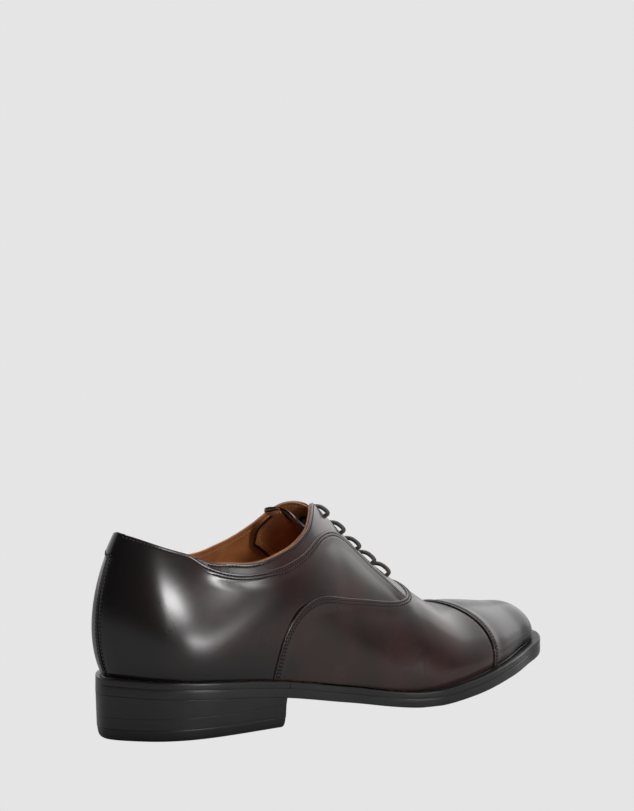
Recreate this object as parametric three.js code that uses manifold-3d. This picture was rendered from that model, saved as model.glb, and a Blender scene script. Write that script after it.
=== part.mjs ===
// A right-foot cap-toe oxford shoe, as the separate pieces that a shoemaker joins.
// Millimetres. +X runs to the toe, +Z up, -Y is the outer side of the foot, +Y the inner side.
import * as THREE from 'three';
import { mergeVertices } from 'three/addons/utils/BufferGeometryUtils.js';
import Module from 'manifold-3d';

const wasm = await Module();
wasm.setup();

// ---- driving dimensions ----
const LAST_LENGTH = 290.5; // feather line, back of the heel to the toe
const HEEL_HALF = 31; // half width of the heel seat
const WAIST_OUTER = 34.8; // outer half width at the waist
const WAIST_INNER = 26; // inner half width at the waist
const BALL_OUTER = 43.5; // outer half width at the ball of the foot
const BALL_INNER = 48.8; // inner half width at the ball of the foot
const HEEL_HEIGHT = 21.5; // ground to the sole's underside at the back
const HEEL_LENGTH = 84; // back of the feather line to the breast of the heel
const TOE_SPRING = 13.6; // ground to the sole's underside at the tip
const BACK_RISE = 84; // feather line to the last's top line over the heel
const INSTEP_RISE = 92; // feather line to the top of the instep
const TOE_RISE = 34; // feather line to the top of the ball
const OUTSOLE = 4.7; // leather outsole
const WELT = 2.8; // welt
const TIP_EXTRA = 2; // outsole and welt together grow by this to the tip
const UPPER = 1.3; // outer leather
const SKIVED = 0.8; // what skiving takes off a lapped edge
const STIFFENER = 1; // heel counter and toe puff
const LINING = 0.9; // lining leather
const INSOLE = 2.6; // insole board
const SOCK = 1; // sock liner
const TONGUE = 1.2; // tongue leather
const TOP_LIFT = 5.6; // rubber top lift
const LAP = 8; // how far a panel runs under its neighbour
const FACING_GAP = 5; // between the two laced edges
const LACE = 2.3; // lace diameter
const EYELET_ROWS = 5; // pairs of eyelets
const EYELET_SET = 9.5; // eyelet to the centre line
const GAP = 0.3; // clearance between pieces that touch
const BEDDING = 0.65; // between the broad curved layers, which follow each other loosely

// ---- small tools ----
const clamp = (x, low, high) => Math.min(high, Math.max(low, x));
const smooth = (x, a, b) => {
  const q = clamp((x - a) / (b - a), 0, 1);
  return q * q * (3 - 2 * q);
};
const range = (a, b, n) => Array.from({ length: n + 1 }, (_, i) => a + ((b - a) * i) / n);

// A smooth line through [place, value] points.
function through(keys, x) {
  const n = keys.length;
  const slope = (i) => {
    const a = keys[Math.max(0, i - 1)];
    const b = keys[Math.min(n - 1, i + 1)];
    return (b[1] - a[1]) / (b[0] - a[0]);
  };
  const at = clamp(x, keys[0][0], keys[n - 1][0]);
  let i = 0;
  while (i < n - 2 && at >= keys[i + 1][0]) i += 1;
  const h = keys[i + 1][0] - keys[i][0];
  const q = (at - keys[i][0]) / h;
  const a = keys[i][1] * (1 + 2 * q) * (1 - q) ** 2 + slope(i) * h * q * (1 - q) ** 2;
  return a + keys[i + 1][1] * q * q * (3 - 2 * q) + slope(i + 1) * h * q * q * (q - 1);
}

// ---- the last: the shape that every layer of the upper is drawn over ----
// Half widths along the length, outer side then inner side.
const OUTER_EDGE = [
  [0, 0],
  [0.015, 0.34 * HEEL_HALF],
  [0.06, 0.78 * HEEL_HALF],
  [0.13, 1.02 * HEEL_HALF],
  [0.26, 0.98 * WAIST_OUTER],
  [0.4, WAIST_OUTER],
  [0.53, 1.07 * WAIST_OUTER],
  [0.64, BALL_OUTER],
  [0.74, 0.985 * BALL_OUTER],
  [0.83, 0.86 * BALL_OUTER],
  [0.91, 0.655 * BALL_OUTER],
  [0.965, 0.52 * BALL_OUTER],
  [0.993, 0.207 * BALL_OUTER],
  [1, 0],
];
const INNER_EDGE = [
  [0, 0],
  [0.015, 0.35 * HEEL_HALF],
  [0.06, 0.8 * HEEL_HALF],
  [0.13, 0.98 * HEEL_HALF],
  [0.26, 0.96 * WAIST_INNER],
  [0.4, 1.04 * WAIST_INNER],
  [0.53, 0.73 * BALL_INNER],
  [0.64, 0.935 * BALL_INNER],
  [0.74, BALL_INNER],
  [0.83, 0.9 * BALL_INNER],
  [0.91, 0.7 * BALL_INNER],
  [0.965, 0.45 * BALL_INNER],
  [0.993, 0.193 * BALL_INNER],
  [1, 0],
];
const TIP_SHIFT = 1.5; // the tip lies this far to the inner side
const centreY = (x) => TIP_SHIFT * clamp((x / LAST_LENGTH - 0.55) / 0.45, 0, 1) ** 1.5;

// The sole's underside above the ground, and the thickness of outsole with welt.
const UNDERSIDE = [
  [0, HEEL_HEIGHT],
  [0.25, 0.745 * HEEL_HEIGHT],
  [0.42, 0.355 * HEEL_HEIGHT],
  [0.58, 0],
  [0.7, 0.15 * TOE_SPRING],
  [0.82, 0.48 * TOE_SPRING],
  [0.92, 0.76 * TOE_SPRING],
  [1, 1.15 * TOE_SPRING],
];
const tipShare = (x) => clamp((x / LAST_LENGTH - 0.6) / 0.4, 0, 1);
const underside = (x) => Math.max(0, through(UNDERSIDE, x / LAST_LENGTH));
const outsoleTop = (x) => underside(x) + OUTSOLE + 0.6 * TIP_EXTRA * tipShare(x);
const featherZ = (x) => outsoleTop(x) + GAP + WELT + 0.4 * TIP_EXTRA * tipShare(x);

// The feather line of each side, by share of its own length from heel to tip.
function featherLine(edge, side) {
  const knots = edge.map(([q, w]) => new THREE.Vector2(q * LAST_LENGTH, w));
  const mirrored = (p) => new THREE.Vector2(p.x, -p.y);
  const all = [mirrored(knots[1]), ...knots, mirrored(knots[knots.length - 2])];
  const place = [0];
  for (let i = 1; i < all.length; i += 1) place.push(place[i - 1] + Math.sqrt(all[i].distanceTo(all[i - 1])));
  const xs = all.map((p, i) => [place[i], p.x]);
  const ys = all.map((p, i) => [place[i], p.y]);
  const samples = range(place[1], place[all.length - 2], 300).map((u) => {
    const x = through(xs, u);
    return new THREE.Vector2(x, side * through(ys, u) + centreY(x));
  });
  const lengths = [0];
  for (let i = 1; i < samples.length; i += 1) {
    lengths.push(lengths[i - 1] + samples[i].distanceTo(samples[i - 1]));
  }
  return { samples, lengths, total: lengths[samples.length - 1] };
}
const LINES = { [-1]: featherLine(OUTER_EDGE, -1), 1: featherLine(INNER_EDGE, 1) };

function feather(side, s) {
  const { samples, lengths, total } = LINES[side];
  const goal = clamp(s, 0, 1) * total;
  let low = 0;
  let high = lengths.length - 1;
  while (high - low > 1) {
    const middle = (low + high) >> 1;
    if (lengths[middle] > goal) high = middle;
    else low = middle;
  }
  const q = (goal - lengths[low]) / (lengths[high] - lengths[low]);
  return samples[low].clone().lerp(samples[high], q);
}

// Outward direction of the feather line, in plan.
function outward(side, s) {
  if (s > 0.999) return new THREE.Vector2(1, 0);
  if (s < 0.001) return new THREE.Vector2(-1, 0);
  const d = feather(side, s + 0.002).sub(feather(side, s - 0.002)).normalize();
  return new THREE.Vector2(-d.y * side, d.x * side);
}

// The ridge of the last, as its rise above the feather line.
const RIDGE = [
  [0, BACK_RISE],
  [0.12, 1.04 * BACK_RISE],
  [0.25, 1.16 * BACK_RISE],
  [0.36, 1.16 * INSTEP_RISE],
  [0.44, INSTEP_RISE],
  [0.53, 0.79 * INSTEP_RISE],
  [0.62, 1.57 * TOE_RISE],
  [0.7, 1.06 * TOE_RISE],
  [0.78, 0.91 * TOE_RISE],
  [0.86, 0.73 * TOE_RISE],
  [0.93, 0.53 * TOE_RISE],
  [0.975, 0.18 * TOE_RISE],
  [1, 0],
];
const RIDGE_SET = 20.8; // the ridge starts this far ahead of the heel's back

function ridge(s) {
  const foot = feather(-1, s).x * 0.5 + feather(1, s).x * 0.5;
  const x = foot + RIDGE_SET * clamp(1 - s / 0.36, 0, 1) ** 1.5;
  return new THREE.Vector3(x, centreY(x), featherZ(foot) + through(RIDGE, s));
}

// How each rib swells: out at the feather line, how high, and how round it is at the ridge.
const RIBS = [0, 0.15, 0.3, 0.45, 0.6, 0.75, 0.88, 1];
const ribKeys = (values) => values.map((v, i) => [RIBS[i], v]);
const SWELL = {
  [-1]: ribKeys([18, 8, 10, 6.5, 5.2, 6.5, 6, 4]),
  1: ribKeys([18, 8.5, 7, 6, 6, 7, 6, 4]),
};
const SWELL_HEIGHT = ribKeys([0.42, 0.28, 0.55, 0.42, 0.45, 0.52, 0.5, 0.56]);
const ROUNDNESS = ribKeys([0.5, 0.35, 0.55, 0.48, 0.47, 0.5, 0.5, 0.55]);

// A point of the last: side -1 outer, 1 inner; s from heel to tip; t from feather line to ridge.
function last(side, s, t) {
  const edge = feather(side, s);
  const foot = new THREE.Vector3(edge.x, edge.y, featherZ(edge.x));
  const top = ridge(s);
  const rise = top.z - foot.z;
  const reach = Math.hypot(top.x - foot.x, top.y - foot.y);
  const inX = reach > 1e-6 ? (top.x - foot.x) / reach : 0;
  const inY = reach > 1e-6 ? (top.y - foot.y) / reach : 0;
  const swell = Math.min(through(SWELL[side], s), 0.8 * reach + 0.5);
  const round = through(ROUNDNESS, s) * reach;
  const low = new THREE.Vector3(foot.x - inX * swell, foot.y - inY * swell, foot.z);
  low.z += through(SWELL_HEIGHT, s) * rise;
  const high = new THREE.Vector3(top.x - inX * round, top.y - inY * round, top.z);
  const r = 1 - t;
  return foot
    .multiplyScalar(r ** 3)
    .addScaledVector(low, 3 * r * r * t)
    .addScaledVector(high, 3 * r * t * t)
    .addScaledVector(top, t ** 3);
}

function normal(side, s, t) {
  const q = clamp(s, 0.002, 0.996);
  const along = last(side, q + 0.002, t).sub(last(side, q - 0.002, t));
  const up = last(side, q, Math.min(1, t + 0.01)).sub(last(side, q, Math.max(0, t - 0.01)));
  const n = along.cross(up).multiplyScalar(-side).normalize();
  return n;
}

// A point at a height above the last's surface; below zero is inside.
function layer(side, s, t, height) {
  const n = normal(side, s, t);
  if (t > 0.999) n.add(normal(-side, s, t)).normalize();
  if (s < 0.002) n.add(normal(-side, s, t)).normalize();
  const p = last(side, s, t).addScaledVector(n, height);
  p.z = Math.max(p.z, featherZ(p.x) + 0.05);
  return p;
}
const across = (w, s, height) => layer(w < 0 ? -1 : 1, s, 1 - Math.abs(w), height);
const around = (a, t, height) => layer(a < 0 ? -1 : 1, Math.abs(a), t, height);

// Share of a rib that is so many millimetres long, near t.
function ribShare(side, s, t, mm) {
  const step = 0.01;
  const a = clamp(t - step, 0, 1);
  const b = clamp(t + step, 0, 1);
  return (mm * (b - a)) / Math.max(1, last(side, s, a).distanceTo(last(side, s, b)));
}
const lineShare = (mm) => mm / LINES[-1].total;

// ---- pattern lines on the last ----
const VAMP_SEAM = [
  [0, 0.272],
  [0.06, 0.28],
  [0.16, 0.293],
  [0.22, 0.314],
  [0.25, 0.34],
  [0.31, 0.393],
  [0.375, 0.443],
  [0.425, 0.492],
  [0.487, 0.541],
  [0.6, 0.588],
  [0.75, 0.61],
  [1, 0.62],
];
const COLLAR_SEAM = [
  [0.145, 0.54],
  [0.17, 0.483],
  [0.2, 0.437],
  [0.233, 0.4],
  [0.268, 0.379],
  [0.3, 0.371],
  [0.338, 0.394],
  [0.362, 0.431],
  [0.4, 0.55],
  [0.438, 0.669],
  [0.468, 0.738],
  [0.492, 0.75],
  [0.53, 0.725],
  [0.562, 0.698],
  [0.59, 0.613],
  [0.64, 0.5],
];
const TOPLINE = [
  [0, 0.652],
  [0.033, 0.638],
  [0.092, 0.6],
  [0.143, 0.556],
  [0.175, 0.506],
  [0.21, 0.469],
  [0.242, 0.433],
  [0.28, 0.419],
  [0.323, 0.444],
  [0.362, 0.525],
  [0.385, 0.625],
  [0.413, 0.794],
  [0.435, 0.93],
  [0.45, 1],
];
const CAP_SEAM = [
  [0, 0.748],
  [0.5, 0.75],
  [0.8, 0.74],
  [1, 0.73],
];
const BAND_START = 0.168; // the collar band begins here
const LINING_SEAM = 0.575; // quarter linings meet the vamp lining here
const HEEL_LINING = 0.165; // the heel lining reaches this far round each side
const vampSeam = (t) => through(VAMP_SEAM, t);
const capSeam = (t) => through(CAP_SEAM, t);

// The laced edge stands off the centre line by half the facing gap.
function edgeT(side, s) {
  const laced = 1 - ribShare(side, s, 0.97, FACING_GAP / 2);
  return Math.min(through(TOPLINE, s), laced);
}
// The quarter ends at the collar seam once the band has begun.
function quarterTop(side, s) {
  const edge = edgeT(side, s);
  const grown = smooth(s, BAND_START - 0.02, BAND_START + 0.002);
  const seam = s < COLLAR_SEAM[0][0] ? edge : Math.min(edge, through(COLLAR_SEAM, s));
  return edge + (seam - edge) * grown;
}
const liningSeam = (t) => Math.max(LINING_SEAM, vampSeam(t) + lineShare(2));

// Layers, from the outside in.
const stiffened = (s) => Math.max(1 - smooth(s, 0.24, 0.31), smooth(s, 0.74, 0.8));
const liningOuter = (s) => -(UPPER + BEDDING) - stiffened(s) * (STIFFENER + BEDDING);
const liningInner = (s) => liningOuter(s) - LINING;
const RAISED = UPPER - SKIVED + BEDDING - 0.05; // a panel climbs this much over a skived edge
const LINED = -(UPPER + BEDDING + LINING); // inside of the lining where nothing stiffens it
const FLANGE = 0.45; // an eyelet's flange
const FLANGE_DEPTH = LINED - BEDDING - FLANGE;
const LACE_DEPTH = FLANGE_DEPTH - GAP - LACE / 2; // lace runs under the lining at this depth
const TONGUE_TOP = LACE_DEPTH - LACE / 2 - BEDDING;

// ---- mesh tools ----
// A closed sheet: two grids of points, face 0 below and face 1 above, and the walls between.
function sheet(us, vs, at) {
  const nu = us.length;
  const nv = vs.length;
  const points = [];
  for (const face of [0, 1]) {
    for (const u of us) for (const v of vs) points.push(at(u, v, face));
  }
  const id = (face, i, j) => face * nu * nv + i * nv + j;
  const index = [];
  const quad = (a, b, c, d) => index.push(a, b, c, a, c, d);
  for (let i = 0; i < nu - 1; i += 1) {
    for (let j = 0; j < nv - 1; j += 1) {
      quad(id(1, i, j), id(1, i + 1, j), id(1, i + 1, j + 1), id(1, i, j + 1));
      quad(id(0, i, j), id(0, i, j + 1), id(0, i + 1, j + 1), id(0, i + 1, j));
    }
    quad(id(0, i, 0), id(0, i + 1, 0), id(1, i + 1, 0), id(1, i, 0));
    quad(id(0, i + 1, nv - 1), id(0, i, nv - 1), id(1, i, nv - 1), id(1, i + 1, nv - 1));
  }
  for (let j = 0; j < nv - 1; j += 1) {
    quad(id(0, 0, j + 1), id(0, 0, j), id(1, 0, j), id(1, 0, j + 1));
    quad(id(0, nu - 1, j), id(0, nu - 1, j + 1), id(1, nu - 1, j + 1), id(1, nu - 1, j));
  }
  return closed(new THREE.BufferGeometry().setFromPoints(points).setIndex(index));
}

// Welds a geometry's points, drops flat triangles and turns its faces outward.
function closed(geometry) {
  const bare = new THREE.BufferGeometry();
  bare.setAttribute('position', geometry.getAttribute('position'));
  if (geometry.index) bare.setIndex(geometry.index);
  const welded = mergeVertices(bare, 1e-3);
  const old = welded.index.array;
  const position = welded.getAttribute('position');
  const point = (i) => new THREE.Vector3().fromBufferAttribute(position, i);
  const kept = [];
  let volume = 0;
  for (let i = 0; i < old.length; i += 3) {
    const [a, b, c] = [old[i], old[i + 1], old[i + 2]];
    if (a === b || b === c || a === c) continue;
    kept.push([a, b, c]);
    volume += point(a).dot(point(b).cross(point(c)));
  }
  const order = volume < 0 ? ([a, b, c]) => [a, c, b] : (t) => t;
  welded.setIndex(kept.flatMap(order));
  return welded;
}

function toManifold(geometry) {
  const g = geometry.index ? geometry : closed(geometry);
  const vertProperties = new Float32Array(g.getAttribute('position').array);
  const triVerts = new Uint32Array(g.index.array);
  return new wasm.Manifold(new wasm.Mesh({ numProp: 3, vertProperties, triVerts }));
}

function fromManifold(solid) {
  const mesh = solid.getMesh();
  const geometry = new THREE.BufferGeometry();
  const points = new Float32Array(mesh.vertProperties);
  geometry.setAttribute('position', new THREE.BufferAttribute(points, 3));
  return geometry.setIndex(new THREE.BufferAttribute(new Uint32Array(mesh.triVerts), 1));
}

const pierced = (geometry, cutters) =>
  fromManifold(cutters.reduce((solid, c) => solid.subtract(toManifold(c)), toManifold(geometry)));

// A turned piece about +Z, from its outline.
const turned = (outline, sides) =>
  closed(new THREE.LatheGeometry(outline.map(([r, z]) => new THREE.Vector2(r, z)), sides).rotateX(Math.PI / 2));

// Stands a turned piece at a point, with its +Z along a direction.
function stood(geometry, place, direction) {
  const turn = new THREE.Quaternion().setFromUnitVectors(new THREE.Vector3(0, 0, 1), direction);
  return geometry.applyQuaternion(turn).translate(place.x, place.y, place.z);
}

// ---- finishes ----
const finish = (color, roughness, metalness = 0) =>
  new THREE.MeshStandardMaterial({ color, roughness, metalness });
const CALF = finish(0x46393a, 0.3);
const CALF_DARK = finish(0x3a3233, 0.25);
const LINING_CALF = finish(0x8a5a34, 0.6);
const BOARD = finish(0xa5835f, 0.85);
const CORK = finish(0x9a7750, 0.95);
const STEEL = finish(0x9a9da0, 0.35, 1);
const BRASS = finish(0xb08d4f, 0.35, 1);
const EDGE_BLACK = finish(0x2a2a2c, 0.35);
const RUBBER = finish(0x232325, 0.6);
const COTTON = finish(0x5a4a44, 0.7);
const AGLET = finish(0x3b2c27, 0.4);
const EYELET_METAL = finish(0x4a3d38, 0.4, 1);

const shoe = new THREE.Group();
function add(group, name, geometry, material) {
  geometry.computeVertexNormals();
  const mesh = new THREE.Mesh(geometry, material);
  mesh.name = name;
  group.add(mesh);
}
const SIDES = [
  ['outer', -1],
  ['inner', 1],
];

// ---- the upper ----
const upper = new THREE.Group();
shoe.add(upper);
const BASE = 0.012; // panels start this share of a rib above the feather line

// Height of a panel's two faces, lifted over a neighbour or thinned under one.
const skin = (lift, thin, face) => (face ? lift - thin * SKIVED : lift - UPPER);

// Solves s = seam(t(s)) for a row of a grid that ends at a slanted seam.
function rowEnd(tOf, seam, low, high) {
  let [a, b] = [low, high];
  for (let i = 0; i < 30; i += 1) {
    const middle = (a + b) / 2;
    if (middle < seam(tOf(middle))) a = middle;
    else b = middle;
  }
  return (a + b) / 2;
}

// Places across a piece that spans the ridge, closer together where it is round.
function widths(n) {
  const half = range(0, 1, n).map((q) => 1 - (1 - q) ** 1.15);
  return [...half.slice(1).reverse().map((q) => -q), ...half];
}
const VAMP_ROWS = widths(14);
const SEAM_TOP = 0.6; // the vamp seam meets the facing at this share of a rib

// The back part of each side. Its columns start on the feather line, then climb the vamp seam.
function quarter(side) {
  const foot = VAMP_SEAM[0][1];
  const handover = 0.3; // top end of the column that stands at the foot of the seam
  const back = range(0, 1, 13).map((q) => ({
    low: [0.0007 + q * (foot - 0.004), BASE],
    high: 0.0007 + q * (handover - 0.0007),
    seamed: 0,
  }));
  const climbing = VAMP_ROWS.map((w) => 1 - w)
    .filter((t) => t > 0 && t < SEAM_TOP)
    .reverse()
    .map((t) => ({ low: [vampSeam(t), Math.max(t, BASE)], seamed: 1 }));
  const first = { low: [vampSeam(BASE), BASE], seamed: 1 };
  const seamColumns = [first, ...climbing].sort((a, b) => a.low[1] - b.low[1]);
  seamColumns.forEach((c, i) => {
    const q = (i + 0.3) / seamColumns.length;
    c.high = handover + (0.585 - handover) * q * q;
  });
  const rows = [-2, -1, ...range(0, 1, 7), 1.5, 2, 3];
  const below = [10, 8, 6.5, 0]; // the last rows lie this far below the top edge
  return sheet([...back, ...seamColumns], rows, (column, v, face) => {
    const drop = v > 1.5 ? below[v] : below[Math.max(0, Math.round(2 * v) - 2)];
    const topEdge = quarterTop(side, column.high);
    const top = topEdge - ribShare(side, column.high, topEdge - 0.03, v >= 1 ? drop : below[0]);
    const [lowS, lowT] = column.low;
    const shift = v < -1 ? LAP : v < 0 ? -0.5 : -1.3;
    const startS = lowS + column.seamed * lineShare(shift);
    const startT = Math.min(lowT, top - 0.002);
    const q = clamp(v, 0, 1);
    const s = startS + q * (column.high - startS);
    const t = startT + q * (top - startT);
    const lift = v >= 2 ? RAISED * smooth(s, BAND_START - 0.05, BAND_START - 0.026) : 0;
    return layer(side, s, t, skin(lift, column.seamed && v < 0 ? 1 : 0, face));
  });
}

// The collar band and laced facing, in one piece on each side.
function facing(side) {
  const short = lineShare(1.2);
  const tail = lineShare(0.5);
  const columns = [...range(0, 1, 22), 2, 3];
  const rows = [-2, -1, 0, 0.25, 0.5, 0.75, 1];
  const plain = sheet(columns, rows, (u, v, face) => {
    const tAt = (s) => {
      const seam = through(COLLAR_SEAM, s);
      const top = edgeT(side, s);
      const hidden = ribShare(side, s, seam, 5) * (1 - smooth(s, 0.55, 0.6));
      const clear = ribShare(side, s, seam, v < 0 ? 0.3 : 1.3);
      return v < -1 ? seam - hidden : seam + clear + Math.max(v, 0) * (top - seam - clear);
    };
    const seam = rowEnd(tAt, vampSeam, 0.4, 0.68);
    const back = BAND_START + 0.004;
    const body = back + Math.min(u, 1) * (seam - short - back);
    const s = body + (u > 1 ? short - tail : 0) + (u > 2 ? tail + lineShare(LAP) : 0);
    return layer(side, s, tAt(Math.min(s, seam - short)), skin(0, u > 1 || v < 0 ? 1 : 0, face));
  });
  return pierced(plain, eyeletPlaces(side).map((e) => punch(e)));
}

// The front of the shoe, over the quarters and under the toe cap.
function vamp() {
  const columns = [0, 1, 2, ...range(2, 3, 8).slice(1), 4, 5];
  return sheet(columns, VAMP_ROWS, (u, w, face) => {
    const t = 1 - Math.abs(w);
    const start = vampSeam(t);
    const end = capSeam(t);
    const rise = [start, start + lineShare(LAP + 1), start + lineShare(LAP + 4)];
    const front = [end - lineShare(1.2), end - lineShare(0.5), end + lineShare(LAP)];
    let s = rise[Math.min(2, u)];
    if (u > 2 && u <= 3) s = rise[2] + (u - 2) * (front[0] - rise[2]);
    if (u > 3) s = front[u - 3];
    const clearT = clamp(t, BASE, 1);
    const lift = u <= 1 ? RAISED : 0;
    return layer(w < 0 ? -1 : 1, s, clearT, skin(lift, u > 3 ? 1 : 0, face));
  });
}

function toeCap() {
  const columns = [0, 1, 2, ...range(2, 3, 7).slice(1)];
  return sheet(columns, widths(12), (u, w, face) => {
    const t = 1 - Math.abs(w);
    const start = capSeam(t);
    const rise = [start, start + lineShare(LAP + 1), start + lineShare(LAP + 4)];
    let s = rise[Math.min(2, u)];
    if (u > 2) s = rise[2] + (u - 2) ** 0.85 * (1 - rise[2]);
    return layer(w < 0 ? -1 : 1, s, clamp(t, BASE, 1), skin(u <= 1 ? RAISED : 0, 0, face));
  });
}

// The small tab that closes the top of the back seam.
function heelTab() {
  return sheet(range(-0.026, 0.026, 6), range(0, 1, 4), (a, v, face) => {
    const top = through(TOPLINE, Math.abs(a));
    const drop = 12 + 3 * (1 - (a / 0.026) ** 2);
    const t = top - (1 - v) * ribShare(1, 0.02, 0.6, drop);
    return around(a, t, face ? GAP + 0.9 : GAP);
  });
}

// ---- stiffeners and linings ----
function heelCounter() {
  return sheet(range(-0.225, 0.225, 20), range(0, 1, 6), (a, v, face) => {
    const reach = 1 - (Math.abs(a) / 0.225) ** 3;
    const t = BASE + v * (0.2 + 0.22 * reach);
    return around(a, t, -(UPPER + BEDDING) - (face ? 0 : STIFFENER));
  });
}

function toePuff() {
  const start = (w) => 0.815 + 0.03 * w * w;
  return sheet(range(0, 1, 7), widths(9), (u, w, face) => {
    const s = start(w) + u * (0.995 - start(w));
    const t = clamp(1 - Math.abs(w), BASE, 1);
    return layer(w < 0 ? -1 : 1, s, t, -(UPPER + BEDDING) - (face ? 0 : STIFFENER));
  });
}

const lined = (side, s, t, face) => layer(side, s, t, face ? liningOuter(s) : liningInner(s));
const liningTop = (side, s) => edgeT(side, s) - ribShare(side, s, 0.5, 0.6);

function quarterLining(side) {
  const plain = sheet(range(0, 1, 18), range(0, 1, 7), (u, v, face) => {
    const tAt = (s) => BASE + v * (liningTop(side, s) - BASE);
    const end = rowEnd(tAt, liningSeam, 0.3, 0.7) - lineShare(GAP + 0.1);
    const s = HEEL_LINING + u * (end - HEEL_LINING);
    return lined(side, s, tAt(s), face);
  });
  return pierced(plain, eyeletPlaces(side).map((e) => punch(e)));
}

function heelLining() {
  const edge = HEEL_LINING - lineShare(GAP + 0.1);
  return sheet(range(-edge, edge, 14), range(0, 1, 7), (a, v, face) => {
    const side = a < 0 ? -1 : 1;
    return lined(side, Math.abs(a), BASE + v * (liningTop(side, Math.abs(a)) - BASE), face);
  });
}

function vampLining() {
  return sheet(range(0, 1, 11), widths(10), (u, w, face) => {
    const t = clamp(1 - Math.abs(w), BASE, 1);
    const start = liningSeam(1 - Math.abs(w));
    return lined(w < 0 ? -1 : 1, start + u * (0.995 - start), t, face);
  });
}

// ---- the tongue, hinged where it is sewn under the end of the lacing ----
const TONGUE_HALF = 0.26; // share of a rib that the tongue covers each side
const TONGUE_END = 0.652;
const TONGUE_START = 0.412;
function tongueSheet(top, thick, inset) {
  const half = TONGUE_HALF - inset;
  return sheet(range(0, 1, 12), range(-half, half, 8), (u, w, face) => {
    const rounded = (Math.abs(w) / half) ** 3 * 0.03;
    const start = TONGUE_START + inset * 0.4 + rounded;
    const s = start + u * (TONGUE_END - inset * 0.3 - start);
    const climb = smooth(s, 0.615, 0.65) * (LINED - BEDDING - TONGUE_TOP);
    return across(w, s, top + climb - (face ? 0 : thick));
  });
}

// ---- lacing ----
const FIRST_EYELET = 0.447;
const LAST_EYELET = 0.568;
function eyeletPlaces(side) {
  return range(FIRST_EYELET, LAST_EYELET, EYELET_ROWS - 1).map((s) => {
    const t = 1 - ribShare(side, s, 0.93, EYELET_SET);
    return { side, s, t, n: normal(side, s, t) };
  });
}
const HOLE = LACE / 2 + GAP + 0.45 + GAP; // hole radius, with the eyelet's barrel inside
const eyePoint = (e, height) => last(e.side, e.s, e.t).addScaledVector(e.n, height);

function punch(e) {
  const outline = [
    [0, FLANGE_DEPTH - 2],
    [HOLE, FLANGE_DEPTH - 2],
    [HOLE, 3],
    [0, 3],
  ];
  return stood(turned(outline, 12), last(e.side, e.s, e.t), e.n);
}

// A blind eyelet: a barrel in the hole and a flange under the lining.
function eyelet(e) {
  const inner = LACE / 2 + GAP;
  const barrel = inner + 0.45;
  const outline = [
    [inner, FLANGE_DEPTH],
    [HOLE + 0.7, FLANGE_DEPTH],
    [HOLE + 0.7, FLANGE_DEPTH + FLANGE],
    [barrel, FLANGE_DEPTH + FLANGE],
    [barrel, -0.5],
    [inner, -0.5],
    [inner, FLANGE_DEPTH],
  ];
  return stood(turned(outline, 10), last(e.side, e.s, e.t), e.n);
}

const BAR_RISE = 5; // a straight bar arches this far over the facings
const rows = { [-1]: eyeletPlaces(-1), 1: eyeletPlaces(1) };

// One lace, laid in straight bars: across, in, up inside, out, and back across.
function lacePoints() {
  const points = [];
  let side = -1;
  const low = rows[side][EYELET_ROWS - 1];
  const tail = rows[-side][EYELET_ROWS - 1];
  const lane = (e, s, mm) => {
    const t = e.t - ribShare(e.side, s, e.t, mm);
    return layer(e.side, s, t, LACE_DEPTH);
  };
  for (const s of [0.478, 0.505, 0.535]) points.push(lane(low, s, 6));
  for (let k = EYELET_ROWS - 1; k >= 0; k -= 1) {
    const from = rows[side][k];
    const to = rows[-side][k];
    const rise = (h) => new THREE.Vector3(0.45 * h, 0, 0.9 * h);
    points.push(eyePoint(from, LACE_DEPTH + 0.4), eyePoint(from, -1), eyePoint(from, 2.1));
    for (const q of [0.25, 0.5, 0.75]) {
      const bar = eyePoint(from, 2.1).lerp(eyePoint(to, 2.1), q);
      points.push(bar.add(rise(BAR_RISE * Math.sin(Math.PI * q) ** 0.7 * 0.6)));
    }
    points.push(eyePoint(to, 2.1), eyePoint(to, -1), eyePoint(to, LACE_DEPTH + 0.4));
    if (k > 0) {
      const between = (to.s + rows[-side][k - 1].s) / 2;
      points.push(layer(to.side, between, to.t, LACE_DEPTH));
    }
    side = -side;
  }
  const end = rows[side][0];
  points.push(lane(end, end.s + 0.006, 3), lane(end, end.s + 0.018, 6), lane(end, end.s + 0.03, 6));
  return points;
}

function cord(points, radius, steps, sides) {
  const path = new THREE.CatmullRomCurve3(points, false, 'centripetal');
  const disc = new THREE.Shape().absarc(0, 0, radius, 0, 2 * Math.PI);
  const options = { steps, curveSegments: sides / 2, extrudePath: path, bevelEnabled: false };
  return closed(new THREE.ExtrudeGeometry(disc, options));
}

// The hard tip on a lace's end.
function aglet(end, before) {
  const out = end.clone().sub(before).normalize();
  const outline = [
    [0, GAP],
    [LACE / 2, GAP],
    [LACE / 2, 14],
    [LACE / 2 - 0.4, 14.6],
    [0, 14.6],
  ];
  return stood(turned(outline, 10), end, out);
}

// ---- the sole ----
const sole = new THREE.Group();
shoe.add(sole);
const EDGE = [
  [0, 3.1],
  [0.2, 2.5],
  [0.35, 2.6],
  [0.5, 3.8],
  [0.7, 4.8],
  [0.9, 5.5],
  [1, 6.2],
];
const soleEdge = (s) => through(EDGE, s);
const SOLE_ROWS = [0, 0.012, 0.03, 0.055, 0.085, ...range(0.12, 0.88, 24), 0.91, 0.935, 0.955, 0.97, 0.982, 0.992, 1];

// A plate between the two edges of the sole: inset from the feather line, between two heights.
function plate(ss, inset, bottom, top, shareOf = (side, s) => s) {
  return sheet(ss, range(-1, 1, 4), (s, v, face) => {
    const edges = [-1, 1].map((side) => {
      const own = shareOf(side, s);
      const p = feather(side, own);
      return p.addScaledVector(outward(side, own), -inset(own, face));
    });
    const p = edges[0].clone().lerp(edges[1], (v + 1) / 2);
    return new THREE.Vector3(p.x, p.y, face ? top(p.x) : bottom(p.x));
  });
}

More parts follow.
